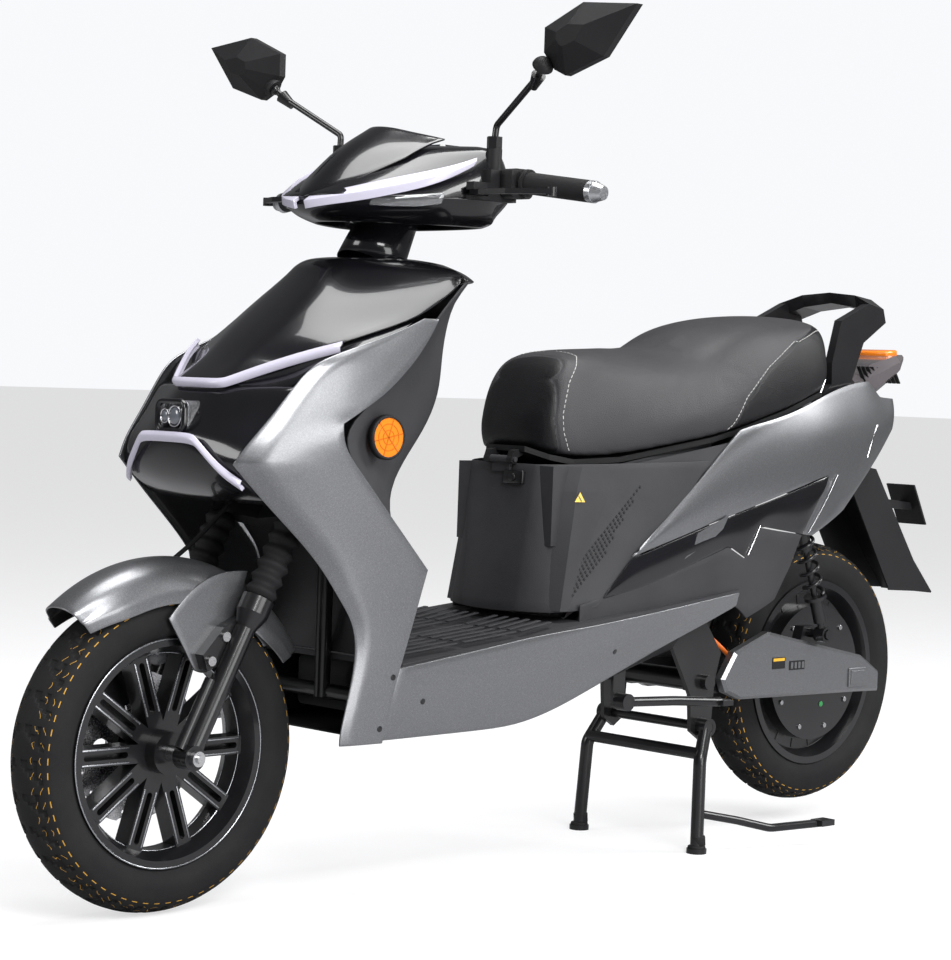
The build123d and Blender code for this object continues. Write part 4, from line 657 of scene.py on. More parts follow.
# floor, sills and belly
lower = {
    "sill": [
        [(499, 160, 245), (497, 166, 272), (484, 171, 312), (470, 172, 352)],
        [(400, 157, 245), (400, 166, 276), (400, 172, 322), (400, 173, 361)],
        [(300, 153, 245), (300, 163, 278), (300, 172, 326), (300, 174, 373)],
        [(205, 150, 246), (205, 160, 282), (205, 171, 334), (205, 174, 386)],
        [(120, 146, 264), (120, 154, 300), (120, 168, 346), (120, 173, 393)],
        [(52, 141, 284), (52, 149, 316), (52, 164, 358), (52, 172, 398)],
        [(-50, 140, 320), (-50, 147, 346), (-50, 160, 378), (-50, 169, 408)],
        [(-151, 140, 356), (-151, 146, 374), (-151, 157, 396), (-151, 165, 419)],
        [(-240, 142, 385), (-240, 145, 397), (-240, 150, 412), (-240, 157, 428)],
        [(-319, 143, 413), (-319, 145, 418), (-319, 147, 427), (-319, 150, 436)],
    ],
    "belly": [
        [(488, 0, 242), (488, 100, 242), (488, 140, 243), (488, 158, 248)],
        [(205, 0, 242), (205, 95, 242), (205, 132, 243), (205, 148, 248)],
        [(140, 0, 254), (140, 92, 254), (140, 128, 256), (140, 145, 262)],
        [(52, 0, 277), (52, 88, 277), (52, 121, 279), (52, 139, 286)],
        [(-151, 0, 332), (-151, 85, 332), (-151, 118, 335), (-151, 139, 358)],
        [(-188, 0, 338), (-188, 85, 338), (-188, 118, 343), (-188, 139, 370)],
    ],
    "lowerRear": [
        [(66, 428), (66, 410), (66, 397)],
        [(17, 439), (10, 420), (0, 402)],
        [(-40, 449), (-45, 428), (-50, 407)],
        [(-106, 463), (-110, 440), (-114, 414)],
        [(-200, 489), (-200, 452), (-200, 424)],
        [(-283, 514), (-280, 462), (-276, 420)],
        [(-331, 493), (-326, 450), (-319, 415)],
        [(-359, 546), (-358, 470), (-349, 391)],
        [(-420, 538), (-410, 470), (-398, 408)],
        [(-450, 535), (-440, 480), (-424, 420)],
        [(-482, 531), (-470, 504), (-458, 476)],
    ],
}
# half widths of the rear body at five heights, from the front station to the rear one
bodyStations = [(60, [146, 148, 146, 141, 136]), (-44, [150, 153, 154, 150, 146]),
                (-275, [144, 152, 156, 153, 142]), (-400, [138, 148, 154, 148, 130]),
                (-552, [128, 144, 146, 140, 112]), (-705, [96, 106, 112, 118, 100]),
                (-810, [87, 93, 95, 92, 84])]
bodyHeights = [400, 520, 610, 715, 830]


def sideAt(x, z):
    # the half width of the rear body at a place along and up
    def across(widths):
        for low, high, first, second in zip(bodyHeights, bodyHeights[1:], widths, widths[1:]):
            if z <= high or high == bodyHeights[-1]:
                return first + (second - first) * min(max((z - low) / (high - low), 0), 1)
    for (front0, widths0), (front1, widths1) in zip(bodyStations, bodyStations[1:]):
        if x >= front1 or front1 == bodyStations[-1][0]:
            share = min(max((front0 - x) / (front0 - front1), 0), 1)
            return across(widths0) * (1 - share) + across(widths1) * share


def onSide(pairs, out=0.0):
    return [(x, sideAt(x, z) + out, z) for x, z in pairs]


def fan(lowPoint, highPoint, count, crown=3.0, out=0.0):
    # points across a side panel from its lower edge to its upper one, a little crowned
    row = []
    for i in range(count):
        share = i / (count - 1)
        x, z = between(lowPoint, highPoint, share)
        row.append((x, sideAt(x, z) + out + crown * (1 - (2 * share - 1) ** 2), z))
    return row


sillPiece = sheetPiece("sillPanels", lower["sill"], "root", silverPaint, outward=(0, 1, 0),
                       foldColumns=(2,), fold=0.5, replaces=("sill_panels",),
                       sharp=((0, 0), (0, 3), (9, 0), (9, 3)))
sheetPiece("bellyPan", lower["belly"], "root", blackPlastic, outward=(0, 0, -1),
           foldColumns=(2,), fold=0.5, replaces=("belly_pan",))
sheetPiece("lowerRearPanels", [onSide(row, 0.5) for row in lower["lowerRear"]], "root", greyPlastic,
           outward=(0, 1, 0),
           sharp=((5, 0), (6, 0), (7, 0), (7, 2), (9, 2), (10, 0), (10, 2)))

# each panel's lower and upper edge, station by station
accentRows = [((17, 437), (12, 446)), ((-40, 447), (-44, 500)), ((-106, 461), (-110, 518)),
              ((-200, 490), (-200, 543)), ((-283, 516), (-275, 563)), ((-331, 495), (-330, 577)),
              ((-359, 548), (-375, 588)), ((-420, 540), (-440, 604)), ((-482, 532), (-500, 619)),
              ((-520, 586), (-552, 633))]
sheetPiece("accentPanels", [fan(low, high, 4, 2.5, 1.2) for low, high in accentRows], "root",
           glossBlack, outward=(0, 1, 0), replaces=("accent_panels",),
           sharp=((1, 3), (4, 0), (5, 0), (6, 0), (8, 0), (9, 3)))
panelRows = [((-46, 503), (-62, 518)), ((-160, 534), (-175, 604)), ((-275, 565), (-302, 712)),
             ((-420, 601), (-440, 735)), ((-552, 635), (-560, 773)), ((-613, 571), (-640, 794)),
             ((-705, 639), (-705, 800)), ((-750, 677), (-745, 772)), ((-791, 715), (-796, 770))]
panelGrid = [fan(low, high, 6, 4.0, 0.5) for low, high in panelRows]
panelMesh = bmesh.new()
cornerLayer = panelMesh.verts.layers.float.new("crease_vert")
panelVerts = bridgeRows(panelMesh, panelGrid)
hookRows = [((-483, 532), (-511, 529)), ((-518, 582), (-560, 550))]
hookVerts = []
for low, high in hookRows:
    hookVerts.append([panelMesh.verts.new(Vector((x, sideAt(x, z) + 0.5, z)) * mm) for x, z in (low, high)])
hookVerts.append([panelVerts[4][0], panelVerts[5][0]])
for first, second in zip(hookVerts, hookVerts[1:]):
    bmesh.ops.contextual_create(panelMesh, geom=first + second)
bmesh.ops.recalc_face_normals(panelMesh, faces=panelMesh.faces)
if sum(face.normal.y * face.calc_area() for face in panelMesh.faces) < 0:
    bmesh.ops.reverse_faces(panelMesh, faces=panelMesh.faces)
lowCorners = [panelVerts[row][0] for row in (0, 4, 5, 8)]
highCorners = [panelVerts[row][-1] for row in (0, 2, 4, 6, 7, 8)]
for vert in (*lowCorners, *highCorners, *hookVerts[0], hookVerts[1][0]):
    vert[cornerLayer] = 0.9
panelPiece = keep("rearPanels", panelMesh, "root", silverPaint)
addModifier(panelPiece, "MIRROR", use_axis=(False, True, False))
addModifier(panelPiece, "SUBSURF", levels=2, render_levels=2, boundary_smooth="PRESERVE_CORNERS")
addModifier(panelPiece, "SOLIDIFY", thickness=0.003, offset=-1.0)
addModifier(panelPiece, "BEVEL", width=0.0009, segments=2, limit_method="ANGLE", angle_limit=sharpFrom)
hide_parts("rear_panels")
print("side panels made")

# fender
fenderSet = {"centre": (785, 233), "start": 50, "end": 149, "steps": 14, "pinch": 0.20, "lift": 16,
             "crown": 2.0}


def fenderRow(angle, spread, drop, rise=0.0):
    # one cross-section of the fender, from the middle to the edge, at an angle round the wheel
    turn = math.radians(angle)
    section = [(279 + rise, 0), (277 + rise, 18), (268 + rise, 37), (252, 48 * spread),
               (234 - drop, 54.5 * spread), (216 - drop, 54.5 * spread)]
    axleX, axleZ = fenderSet["centre"]
    return [(axleX + radius * math.cos(turn), y, axleZ + radius * math.sin(turn)) for radius, y in section]


fenderRows = []
for i in range(fenderSet["steps"] + 1):
    share = i / fenderSet["steps"]
    ends = min(share, 1 - share) * 2
    angle = fenderSet["start"] + (fenderSet["end"] - fenderSet["start"]) * share
    spread = 1.0 - fenderSet["pinch"] * (1 - min(ends * 4, 1.0))
    drop = -fenderSet["lift"] * (1 - min(ends * 3, 1.0))
    fenderRows.append(fenderRow(angle, spread, drop, fenderSet["crown"] * ends))
sheetPiece("fenderShell", fenderRows, "fork", silverPaint, outward=(0, 0, 1),
           foldColumns=(4,), fold=0.4, replaces=("front_fender",))
bracketRows = [[(808, 55, 428), (784, 55, 392), (760, 55, 352)],
               [(770, 55, 470), (756, 55, 420), (745, 55, 346)],
               [(720, 55, 494), (726, 55, 420), (728, 55, 350)],
               [(668, 55, 492), (690, 55, 424), (712, 55, 366)]]
sheetPiece("fenderBrackets", bracketRows, "fork", silverPaint, outward=(0, 1, 0),
           sharp=((0, 2), (3, 0), (3, 2), (0, 0)))
print("fender made")

# seat box front with its textured strip
boxRows = [
    [(129, 0, 412), (129, 34, 412), (126, 66, 414), (98, 134, 414), (30, 150, 424)],
    [(122, 0, 480), (122, 38, 480), (119, 68, 480), (87, 133, 480), (-34, 152, 480)],
    [(114, 0, 545), (114, 40, 545), (112, 71, 545), (74, 131, 545), (-109, 154, 545)],
    [(107, 0, 607), (107, 42, 607), (105, 74, 607), (62, 128, 607), (-181, 155, 607)],
    [(103, 0, 648), (103, 44, 648), (101, 75, 648), (53, 127, 650), (-222, 155, 658)],
]
boxPiece = sheetPiece("seatBoxCover", boxRows, "root", greyPlastic, outward=(1, 1, 0),
                      foldColumns=(2,), fold=0.5, edge=0.8, sharp=((0, 4), (4, 4)))
sideBoxTree = treeOf(shapedMesh(boxPiece))
print("seat box made")

# screws set on the shields and sills
mesh = bmesh.new()
for piece in (legPiece, sillPiece):
    sideTree = treeOf(shapedMesh(piece))
    places = ((486, 340), (506, 265)) if piece == legPiece else ((420, 300), (-10, 352))
    for x, z in places:
        for side in (1, -1):
            spot = sideTree.ray_cast(Vector((x * mm, 0.4 * side, z * mm)), Vector((0, -side, 0)))
            if spot[0] is not None:
                addDisc(mesh, spot[0] / mm, spot[1], radius=4.6, depth=1.6, sides=20, soft=0.4)
screwPiece = keep("shieldScrews", mesh, "root", blackMetal)
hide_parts("body_screws")


# seat: foam swollen under its cover by a short cloth run, then sewn
seat = {
    "lines": [
        (100, [(0, 676), (58, 676), (70, 700), (58, 714), (34, 719)], 720),
        (70, [(0, 664), (85, 664), (98, 700), (88, 770), (60, 790)], 795),
        (35, [(0, 657), (105, 657), (118, 700), (105, 800), (70, 832)], 838),
        (-60, [(0, 662), (118, 662), (135, 700), (125, 800), (85, 828)], 836),
        (-212, [(0, 688), (135, 688), (152, 722), (140, 800), (95, 830)], 835),
        (-264, [(0, 697), (140, 697), (152, 730), (142, 815), (100, 850)], 858),
        (-330, [(0, 712), (140, 712), (150, 742), (140, 850), (105, 885)], 892),
        (-454, [(0, 745), (137, 745), (145, 775), (135, 875), (100, 905)], 913),
        (-560, [(0, 780), (130, 780), (137, 800), (125, 885), (95, 908)], 913),
        (-590, [(0, 795), (105, 795), (115, 815), (105, 870), (80, 885)], 890),
    ],
    # the cloth run: start this much smaller (mm), swell, and keep a share of the capped movement
    "shrink": 4.0, "voxel": 0.006, "pressure": 4.0, "frames": 20, "cap": 0.022, "settle": 0.4,
    "pinReach": 0.006, "pinFloor": 8,
    "frontSeam": [(650, 56), (690, 70), (720, 74), (784, 62), (815, 36), (842, 14)],
    "rearSeam": [(-292, 697), (-333, 761), (-388, 812), (-472, 863), (-600, 912)],
    "stitch": (5.2, 0.75), "stitchPitch": 8.4, "stitchOffset": 5.0, "groove": 1.6, "grooveReach": 5,
}


def bend(pairs, value):
    # a value read off a broken line of pairs
    pairs = sorted(pairs)
    if value <= pairs[0][0]:
        return pairs[0][1]
    for (low, first), (high, second) in zip(pairs, pairs[1:]):
        if value <= high:
            return first + (second - first) * (value - low) / (high - low)
    return pairs[-1][1]


def frontGap(point):
    # how far a point lies ahead of the front seam, in millimetres
    return point.x / mm - bend(seat["frontSeam"], point.z / mm)


def rearGap(point):
    # how far a side point lies under the rear seam, in millimetres
    if abs(point.y) / mm < 92 or point.x / mm > -286:
        return -99.0
    return (bend(seat["rearSeam"], point.x / mm) - point.z / mm) * 0.75


def applied(made):
    # the piece's mesh with its modifiers worked in
    bpy.context.view_layer.update()
    shape = bpy.data.meshes.new_from_object(made.evaluated_get(bpy.context.evaluated_depsgraph_get()))
    made.modifiers.clear()
    made.data = shape
    return shape


mesh = bmesh.new()
creases = mesh.edges.layers.float.new("crease_edge")
rings = []
for x, half, top in seat["lines"]:
    ring = [(x, y, z) for y, z in half] + [(x, 0, top)] + [(x, -y, z) for y, z in reversed(half[1:])]
    rings.append(ring)
seatRings = bridgeRows(mesh, rings, closed=True)
for ring in (seatRings[0], seatRings[-1]):
    mesh.faces.new(ring)
for column in (1, -1):
    for first, second in zip(seatRings, seatRings[1:]):
        creaseEdge(mesh, creases, first[column], second[column], 0.8)
for column in (4, -4):
    for first, second in zip(seatRings[1:], seatRings[2:]):
        creaseEdge(mesh, creases, first[column], second[column], 0.25)
bmesh.ops.recalc_face_normals(mesh, faces=mesh.faces)
seatPiece = keep("seatCover", mesh, "seat", [seatVinyl, seatBlack])
addModifier(seatPiece, "SUBSURF", levels=3, render_levels=3)
shape = applied(seatPiece)
for vert in shape.vertices:
    vert.co -= vert.normal * seat["shrink"] * mm
addModifier(seatPiece, "REMESH", mode="VOXEL", voxel_size=seat["voxel"], use_smooth_shade=True)
shape = applied(seatPiece)
started = [vert.co.copy() for vert in shape.vertices]
holding = seatPiece.vertex_groups.new(name="held")
lowEdge = [(x, half[0][1]) for x, half, top in seat["lines"]]
for vert in shape.vertices:
    floorGap = vert.co.z / mm - bend(lowEdge, vert.co.x / mm)
    seamGap = min(abs(frontGap(vert.co)), abs(rearGap(vert.co)))
    reach = seat["pinReach"] / mm
    if floorGap < seat["pinFloor"]:
        holding.add([vert.index], 1.0, "REPLACE")
    elif seamGap < reach:
        holding.add([vert.index], 0.9 * (1 - seamGap / reach), "REPLACE")
cloth = addModifier(seatPiece, "CLOTH")
cloth.settings.quality = 4
cloth.settings.mass = 0.3
cloth.settings.tension_stiffness = 30
cloth.settings.compression_stiffness = 30
cloth.settings.bending_stiffness = 3
cloth.settings.use_pressure = True
cloth.settings.uniform_pressure_force = seat["pressure"]
cloth.settings.vertex_group_mass = "held"
cloth.settings.effector_weights.gravity = 0
cloth.collision_settings.use_collision = False
cloth.point_cache.frame_start = 1
cloth.point_cache.frame_end = seat["frames"]
for step in range(1, seat["frames"] + 1):
    bpy.context.scene.frame_set(step)
shape = applied(seatPiece)
bpy.context.scene.frame_set(1)
moved = 0.0
for vert, start in zip(shape.vertices, started):
    shift = vert.co - start
    if shift.length > seat["cap"]:
        shift = shift.normalized() * seat["cap"]
    vert.co = start + shift * seat["settle"]
    moved = max(moved, shift.length * seat["settle"])
print("seat swollen by up to", round(moved * 1000, 1), "mm")
addModifier(seatPiece, "SMOOTH", factor=0.5, iterations=3)
addModifier(seatPiece, "SUBSURF", levels=1, render_levels=1)
shape = applied(seatPiece)
for vert in shape.vertices:
    seamGap = min(abs(frontGap(vert.co)), abs(rearGap(vert.co)))
    if seamGap < seat["grooveReach"]:
        vert.co -= vert.normal * seat["groove"] * mm * (1 - seamGap / seat["grooveReach"]) ** 2
if not shape.materials:
    shape.materials.append(seatVinyl)
    shape.materials.append(seatBlack)
for face in shape.polygons:
    face.material_index = 1 if frontGap(face.center) > 0 or rearGap(face.center) > 0 else 0
    face.use_smooth = True
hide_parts("seat_cushion")

seatTree = treeOf(shape)
stitchMesh = bmesh.new()


def sewAlong(guesses, side):
    # a row of short stitches laid on the cover along a line of guesses
    spots = []
    for first, second in zip(guesses, guesses[1:]):
        first, second = Vector(first) * mm, Vector(second) * mm
        count = max(1, int((second - first).length / (seat["stitchPitch"] * mm)))
        spots += [first.lerp(second, i / count) for i in range(count)]
    held = []
    for spot in spots:
        spot.y *= side
        place, normal, _, gap = seatTree.find_nearest(spot)
        if place is not None and gap < 0.05:
            held.append((place, normal))
    for (place, normal), (after, _) in zip(held, held[1:]):
        way = after - place
        if way.length < 0.003 or way.length > 0.03:
            continue
        made = bmesh.ops.create_cube(stitchMesh, size=1.0)["verts"]
        long, thick = seat["stitch"]
        bmesh.ops.scale(stitchMesh, verts=made, vec=Vector((thick * 1.3, thick, long)) * mm)
        turn = way.to_track_quat("Z", "Y").to_matrix().to_4x4()
        bmesh.ops.transform(stitchMesh, verts=made, matrix=turn)
        bmesh.ops.translate(stitchMesh, verts=made, vec=(place + after) / 2 + normal * 0.0002)


aside = seat["stitchOffset"]
for side in (1, -1):
    sewAlong([(60 - aside, 105, 664), (74 - aside, 104, 700), (76 - aside, 102, 730),
              (62 - aside, 100, 784), (38 - aside, 92, 815), (18 - aside, 70, 838),
              (13 - aside, 40, 842), (12 - aside, 0, 843)], side)
    sewAlong([(-292 + aside, 152, 700), (-333 + aside, 152, 761 + aside), (-388, 148, 812 + aside),
              (-472, 138, 863 + aside), (-560, 122, 895 + aside), (-584, 104, 900)], side)
keep("seatStitching", stitchMesh, "seat", stitchThread, smooth=False)
print("seat made")


# tyres with sunk tread, and their thin painted lines
def tyreLook(label, wheelX, wheelZ):
    # rubber with thin broken lines that follow the tread and the sidewall
    made = finish(label + "TyreRubber", (0.007, 0.007, 0.008), (0.013, 0.013, 0.013), rough=0.72, grain=0.35,
                  grainScale=700, spec=0.22)
    tree = made.node_tree
    shader = tree.nodes["Principled BSDF"]
    place = tree.nodes.new("ShaderNodeTexCoord")
    parts = tree.nodes.new("ShaderNodeSeparateXYZ")
    tree.links.new(place.outputs["Object"], parts.inputs[0])

    def step(operation, first, second=None):
        return mathNode(tree, operation, first, second)

    along = step("SUBTRACT", parts.outputs["X"], wheelX * mm)
    up = step("SUBTRACT", parts.outputs["Z"], wheelZ * mm)
    radius = step("SQRT", step("ADD", step("MULTIPLY", along, along), step("MULTIPLY", up, up)))
    across = step("ABSOLUTE", parts.outputs["Y"])
    angle = step("ARCTAN2", up, along)
    wave = step("MULTIPLY", step("SINE", step("MULTIPLY", angle, 60.0)), 0.0022)
    waved = step("ADD", across, wave)
    lines = None
    for middle in (0.0245, 0.0365):
        near = step("LESS_THAN", step("ABSOLUTE", step("SUBTRACT", waved, middle)), 0.00034)
        lines = near if lines is None else step("MAXIMUM", lines, near)
    onTread = step("GREATER_THAN", radius, 0.2165)
    lines = step("MULTIPLY", lines, onTread)
    sideLine = step("LESS_THAN", step("ABSOLUTE", step("SUBTRACT", radius, 0.2135)), 0.0006)
    lines = step("MAXIMUM", lines, sideLine)
    dashes = step("GREATER_THAN", step("SINE", step("MULTIPLY", angle, 67.0)), 0.1)
    lines = step("MULTIPLY", lines, dashes)
    base = shader.inputs["Base Color"].links[0].from_socket
    tree.links.new(mixColours(tree, lines, base, (0.50, 0.27, 0.04, 1)), shader.inputs["Base Color"])
    return made


wheels = {"front": ("front_wheel", (785, 233), "front_tyre"),
          "rear": ("rear_wheel", (-665, 272), "rear_tyre")}
tyre = {"steps": 240, "groove": 2.6, "edge": 1.1, "treadFrom": 218.5, "treadHalf": 39,
        "sides": [(158, 26), (158, 34), (167, 34), (178, 44), (192, 45.4), (205, 45), (213, 43)],
        "crown": [39, 32, 25, 18, 11, 4], "inside": [(178, -36), (214, -31), (224, 0), (214, 31), (178, 36)]}


def isGroove(band, number):
    # which cells of the tread are cut: slanted bars, with short ones at the shoulders
    place = (number + abs(band - 5)) % 8
    if place in (0, 1) and band != 5:
        return True
    return band in (1, 9) and place in (2, 3, 4) or band in (3, 7) and place == 2


for label, (body, (wheelX, wheelZ), node) in wheels.items():
    mesh = bmesh.new()
    right = tyre["sides"] + [(233 - 0.0092 * y * y, y) for y in tyre["crown"]]
    section = right + [(r, -y) for r, y in reversed(right)] + tyre["inside"]
    spinRing(mesh, [(wheelX + r, y, wheelZ) for r, y in section], (wheelX, 0, wheelZ), tyre["steps"])
    bmesh.ops.recalc_face_normals(mesh, faces=mesh.faces)
    centre = Vector((wheelX, 0, wheelZ)) * mm
    bands = sorted([-y for y in tyre["crown"]] + tyre["crown"])
    cut = []
    for face in mesh.faces:
        middle = face.calc_center_median() - centre
        outwards = Vector((middle.x, 0, middle.z))
        if outwards.length / mm < tyre["treadFrom"] or abs(middle.y) / mm > tyre["treadHalf"]:
            continue
        if face.normal.dot(outwards) < 0:
            continue
        band = sum(1 for edge in bands if edge < middle.y / mm) - 1
        number = round(math.atan2(middle.z, middle.x) / math.tau * tyre["steps"] - 0.5)
        if isGroove(band, number):
            cut.append(face)
    bmesh.ops.inset_region(mesh, faces=cut, thickness=tyre["edge"] * mm, depth=-tyre["groove"] * mm,
                           use_even_offset=True, use_boundary=True)
    tyrePiece = keep(label + "Tyre", mesh, body, tyreLook(label, wheelX, wheelZ))
    addModifier(tyrePiece, "BEVEL", width=0.0004, segments=1, limit_method="ANGLE",
                angle_limit=math.radians(40))
    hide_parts(node)
print("tyres made")

# machined faces of the front rim
mesh = bmesh.new()
rim = {"spokes": 10, "faces": (18.35, -14.35), "from": 58, "to": 139, "half": 10.6}
rimCentre = Vector((785, 0, 233))
for number in range(rim["spokes"]):
    turn = Matrix.Rotation(math.tau * number / rim["spokes"], 3, "Y")
    for face in rim["faces"]:
        for offset in (-1, 1):
            middle = Vector(((rim["from"] + rim["to"]) / 2, face, offset * rim["half"]))
            addBox(mesh, rimCentre + turn @ middle, (rim["to"] - rim["from"], 0.9, 2.2), turn, 0.2)
keep("rimMachining", mesh, "front_wheel", rimMachined)
mesh = bmesh.new()
for low, high, side in ((141.5, 144, 14.4), (141.5, 144, -14.4), (163.5, 165.8, 38.1), (163.5, 165.8, -38.1)):
    top = side + math.copysign(0.5, side)
    outline = [rimCentre + Vector((r, y, 0)) for r, y in ((low, side), (high, side), (high, top), (low, top))]
    spinRing(mesh, outline, rimCentre, 96)
bmesh.ops.recalc_face_normals(mesh, faces=mesh.faces)
keep("rimRings", mesh, "front_wheel", rimMachined)
print("rim dressed")


# small fittings and marks
def flat(points, depth):
    # a thin plate from points on the left side, pushed outwards
    mesh = bmesh.new()
    rim = [mesh.verts.new(Vector(point) * mm) for point in points]
    face = mesh.faces.new(rim)
    face.normal_update()
    if face.normal.y < 0:
        bmesh.ops.reverse_faces(mesh, faces=[face])
    grown = bmesh.ops.extrude_face_region(mesh, geom=[face])
    raised = [item for item in grown["geom"] if isinstance(item, bmesh.types.BMVert)]
    bmesh.ops.translate(mesh, verts=raised, vec=(0, depth * mm, 0))
    bmesh.ops.recalc_face_normals(mesh, faces=mesh.faces)
    return mesh


def both(name, mesh, body, look, smooth=False):
    # keeps a left-hand mesh with its mirrored twin
    twin = bmesh.ops.duplicate(mesh, geom=mesh.verts[:] + mesh.edges[:] + mesh.faces[:])["geom"]
    verts = [item for item in twin if isinstance(item, bmesh.types.BMVert)]
    faces = [item for item in twin if isinstance(item, bmesh.types.BMFace)]
    bmesh.ops.scale(mesh, verts=verts, vec=(1, -1, 1))
    bmesh.ops.reverse_faces(mesh, faces=faces)
    return keep(name, mesh, body, look, smooth)


slashOutline = [(-199, 539), (-275, 568), (-262, 545), (-240, 530), (-169, 496), (-192, 518)]
slash = flat(onSide(slashOutline, 2.4), 0.8)
both("silverSlash", slash, "root", silverPaint)
edgeLines = [[(-581, 634), (-545, 588), (-497, 534)], [(-361, 549), (-347, 522), (-334, 499)],
             [(-722, 722), (-704, 700), (-690, 664)], [(-560, 800), (-548, 786), (-538, 776)]]
for number, line in enumerate(edgeLines):
    tubePiece(f"brightLine{number}", onSide(line, 3.2), 1.5 if number > 1 else 1.0, "root", chromeFinish,
              mirrored=True)

reflector = {"x": 523, "z": 692, "face": 188, "rings": (10, 19)}
reflectorCentre = (reflector["x"], 0, reflector["z"])
mesh = bmesh.new()
for side in (1, -1):
    outline = [(reflector["x"] + r, y * side, reflector["z"])
               for r, y in ((28.6, 180), (33.0, 180), (33.0, 187), (31.0, 189.6), (28.6, 189.6))]
    spinRing(mesh, outline, reflectorCentre, 48)
bmesh.ops.recalc_face_normals(mesh, faces=mesh.faces)
keep("reflectorRims", mesh, "root", blackPlastic)
mesh = bmesh.new()
for number in range(3):
    turn = Matrix.Rotation(math.pi * number / 3 + 0.2, 3, "Y")
    addBox(mesh, (reflector["x"], reflector["face"] + 0.3, reflector["z"]), (55, 0.7, 1.5), turn, 0)
for ringRadius in reflector["rings"]:
    outline = [(reflector["x"] + ringRadius + r, reflector["face"] + y, reflector["z"])
               for r, y in ((0, 0), (1.0, 0), (1.0, 0.6), (0, 0.6))]
    spinRing(mesh, outline, reflectorCentre, 40)
bmesh.ops.recalc_face_normals(mesh, faces=mesh.faces)
both("reflectorSectors", mesh, "root", amberDeep)

# headlight face: a frame, and two projectors with bright rings
lamp = {"x": 772.5, "z": 713, "halfWide": 32, "halfHigh": 23, "corner": 12,
        "projectors": ((8, 12.5), (-15, 7.5))}
mesh = bmesh.new()
frameRings = []
for grow, x in ((-5.5, 771.5), (-5.5, 776), (0.5, 777.5), (2.0, 775), (2.0, 770)):
    ring = []
    for sideY, sideZ, begin in ((1, 1, 0), (-1, 1, 90), (-1, -1, 180), (1, -1, 270)):
        middleY = sideY * (lamp["halfWide"] - lamp["corner"])
        middleZ = lamp["z"] + sideZ * (lamp["halfHigh"] - lamp["corner"])
        for number in range(5):
            angle = math.radians(begin + number * 22.5)
            radius = lamp["corner"] + grow
            ring.append((x, middleY + radius * math.cos(angle), middleZ + radius * math.sin(angle)))
    frameRings.append(ring)
bridgeRows(mesh, frameRings, closed=True)
bmesh.ops.recalc_face_normals(mesh, faces=mesh.faces)
keep("headlightFrame", mesh, "root", glossBlack)
mesh = bmesh.new()
for y, radius in lamp["projectors"]:
    ball = bmesh.ops.create_uvsphere(mesh, u_segments=28, v_segments=14, radius=radius * mm)["verts"]
    bmesh.ops.scale(mesh, verts=ball, vec=(0.32, 1, 1))
    bmesh.ops.translate(mesh, verts=ball, vec=Vector((lamp["x"], y, lamp["z"])) * mm)
keep("headlightProjector", mesh, "root", projectorGlass)
mesh = bmesh.new()
for y, ball in lamp["projectors"]:
    radius = ball + 1.1
    outline = [(lamp["x"] + x, y + r, lamp["z"])
               for r, x in ((radius, -1), (radius + 2, -1), (radius + 2, 2.2), (radius, 1.2))]
    spinRing(mesh, outline, (0, y, lamp["z"]), 36, (1, 0, 0))
bmesh.ops.recalc_face_normals(mesh, faces=mesh.faces)
keep("projectorRings", mesh, "root", chromeFinish)

# warning triangle and lock under the seat nose
mesh = bmesh.new()
signPlace = Vector((56, 128.4, 596))
triangle = bmesh.ops.create_cone(mesh, cap_ends=True, segments=3, radius1=10.5 * mm, radius2=10.5 * mm,
                                 depth=0.6 * mm)
facing = Vector((0.36, 0.93, 0)).to_track_quat("Z", "Y").to_matrix().to_4x4()
bmesh.ops.transform(mesh, verts=triangle["verts"], matrix=facing)
bmesh.ops.translate(mesh, verts=triangle["verts"], vec=signPlace * mm)
keep("warningSign", mesh, "root", signYellow, smooth=False)
mesh = bmesh.new()
turn = facing.to_3x3()
for move, lean in (((-1.4, 2.2), 0.5), ((1.4, -1.6), 0.5)):
    addBox(mesh, signPlace + turn @ Vector((*move, 0.5)), (1.6, 5.6, 0.4),
           turn @ Matrix.Rotation(lean, 3, "Z"), 0)
keep("warningBolt", mesh, "root", glossBlack, smooth=False)
mesh = bmesh.new()
addBox(mesh, (106, 30, 626), (10, 44, 22), Matrix.Rotation(-0.06, 3, "Y"), 2)
addDisc(mesh, (112, 30, 626), (1, 0, 0.06), 7, 5)
keep("seatCatch", mesh, "root", blackMetal)

# raised studs on the seat box side
mesh = bmesh.new()
studRows, studsInRow = 5, 24
for row in range(studRows):
    for number in range(studsInRow):
        share = (number + 0.5 * (row % 2)) / studsInRow
        x = 74 - 150 * share
        z = 462 + 142 * share + (row - 2) * 8.4
        spot = sideBoxTree.find_nearest(Vector((x, 140, z)) * mm)
        if spot[0] is None or spot[3] > 0.03:
            continue
        stud = bmesh.ops.create_cone(mesh, cap_ends=True, segments=4, radius1=3.1 * mm, radius2=2.2 * mm,
                                     depth=1.0 * mm)
        turn = spot[1].to_track_quat("Z", "Y").to_matrix().to_4x4()
        bmesh.ops.transform(mesh, verts=stud["verts"], matrix=turn)
        bmesh.ops.translate(mesh, verts=stud["verts"], vec=spot[0] + spot[1] * 0.0004)
both("boxStuds", mesh, "root", blackPlastic)

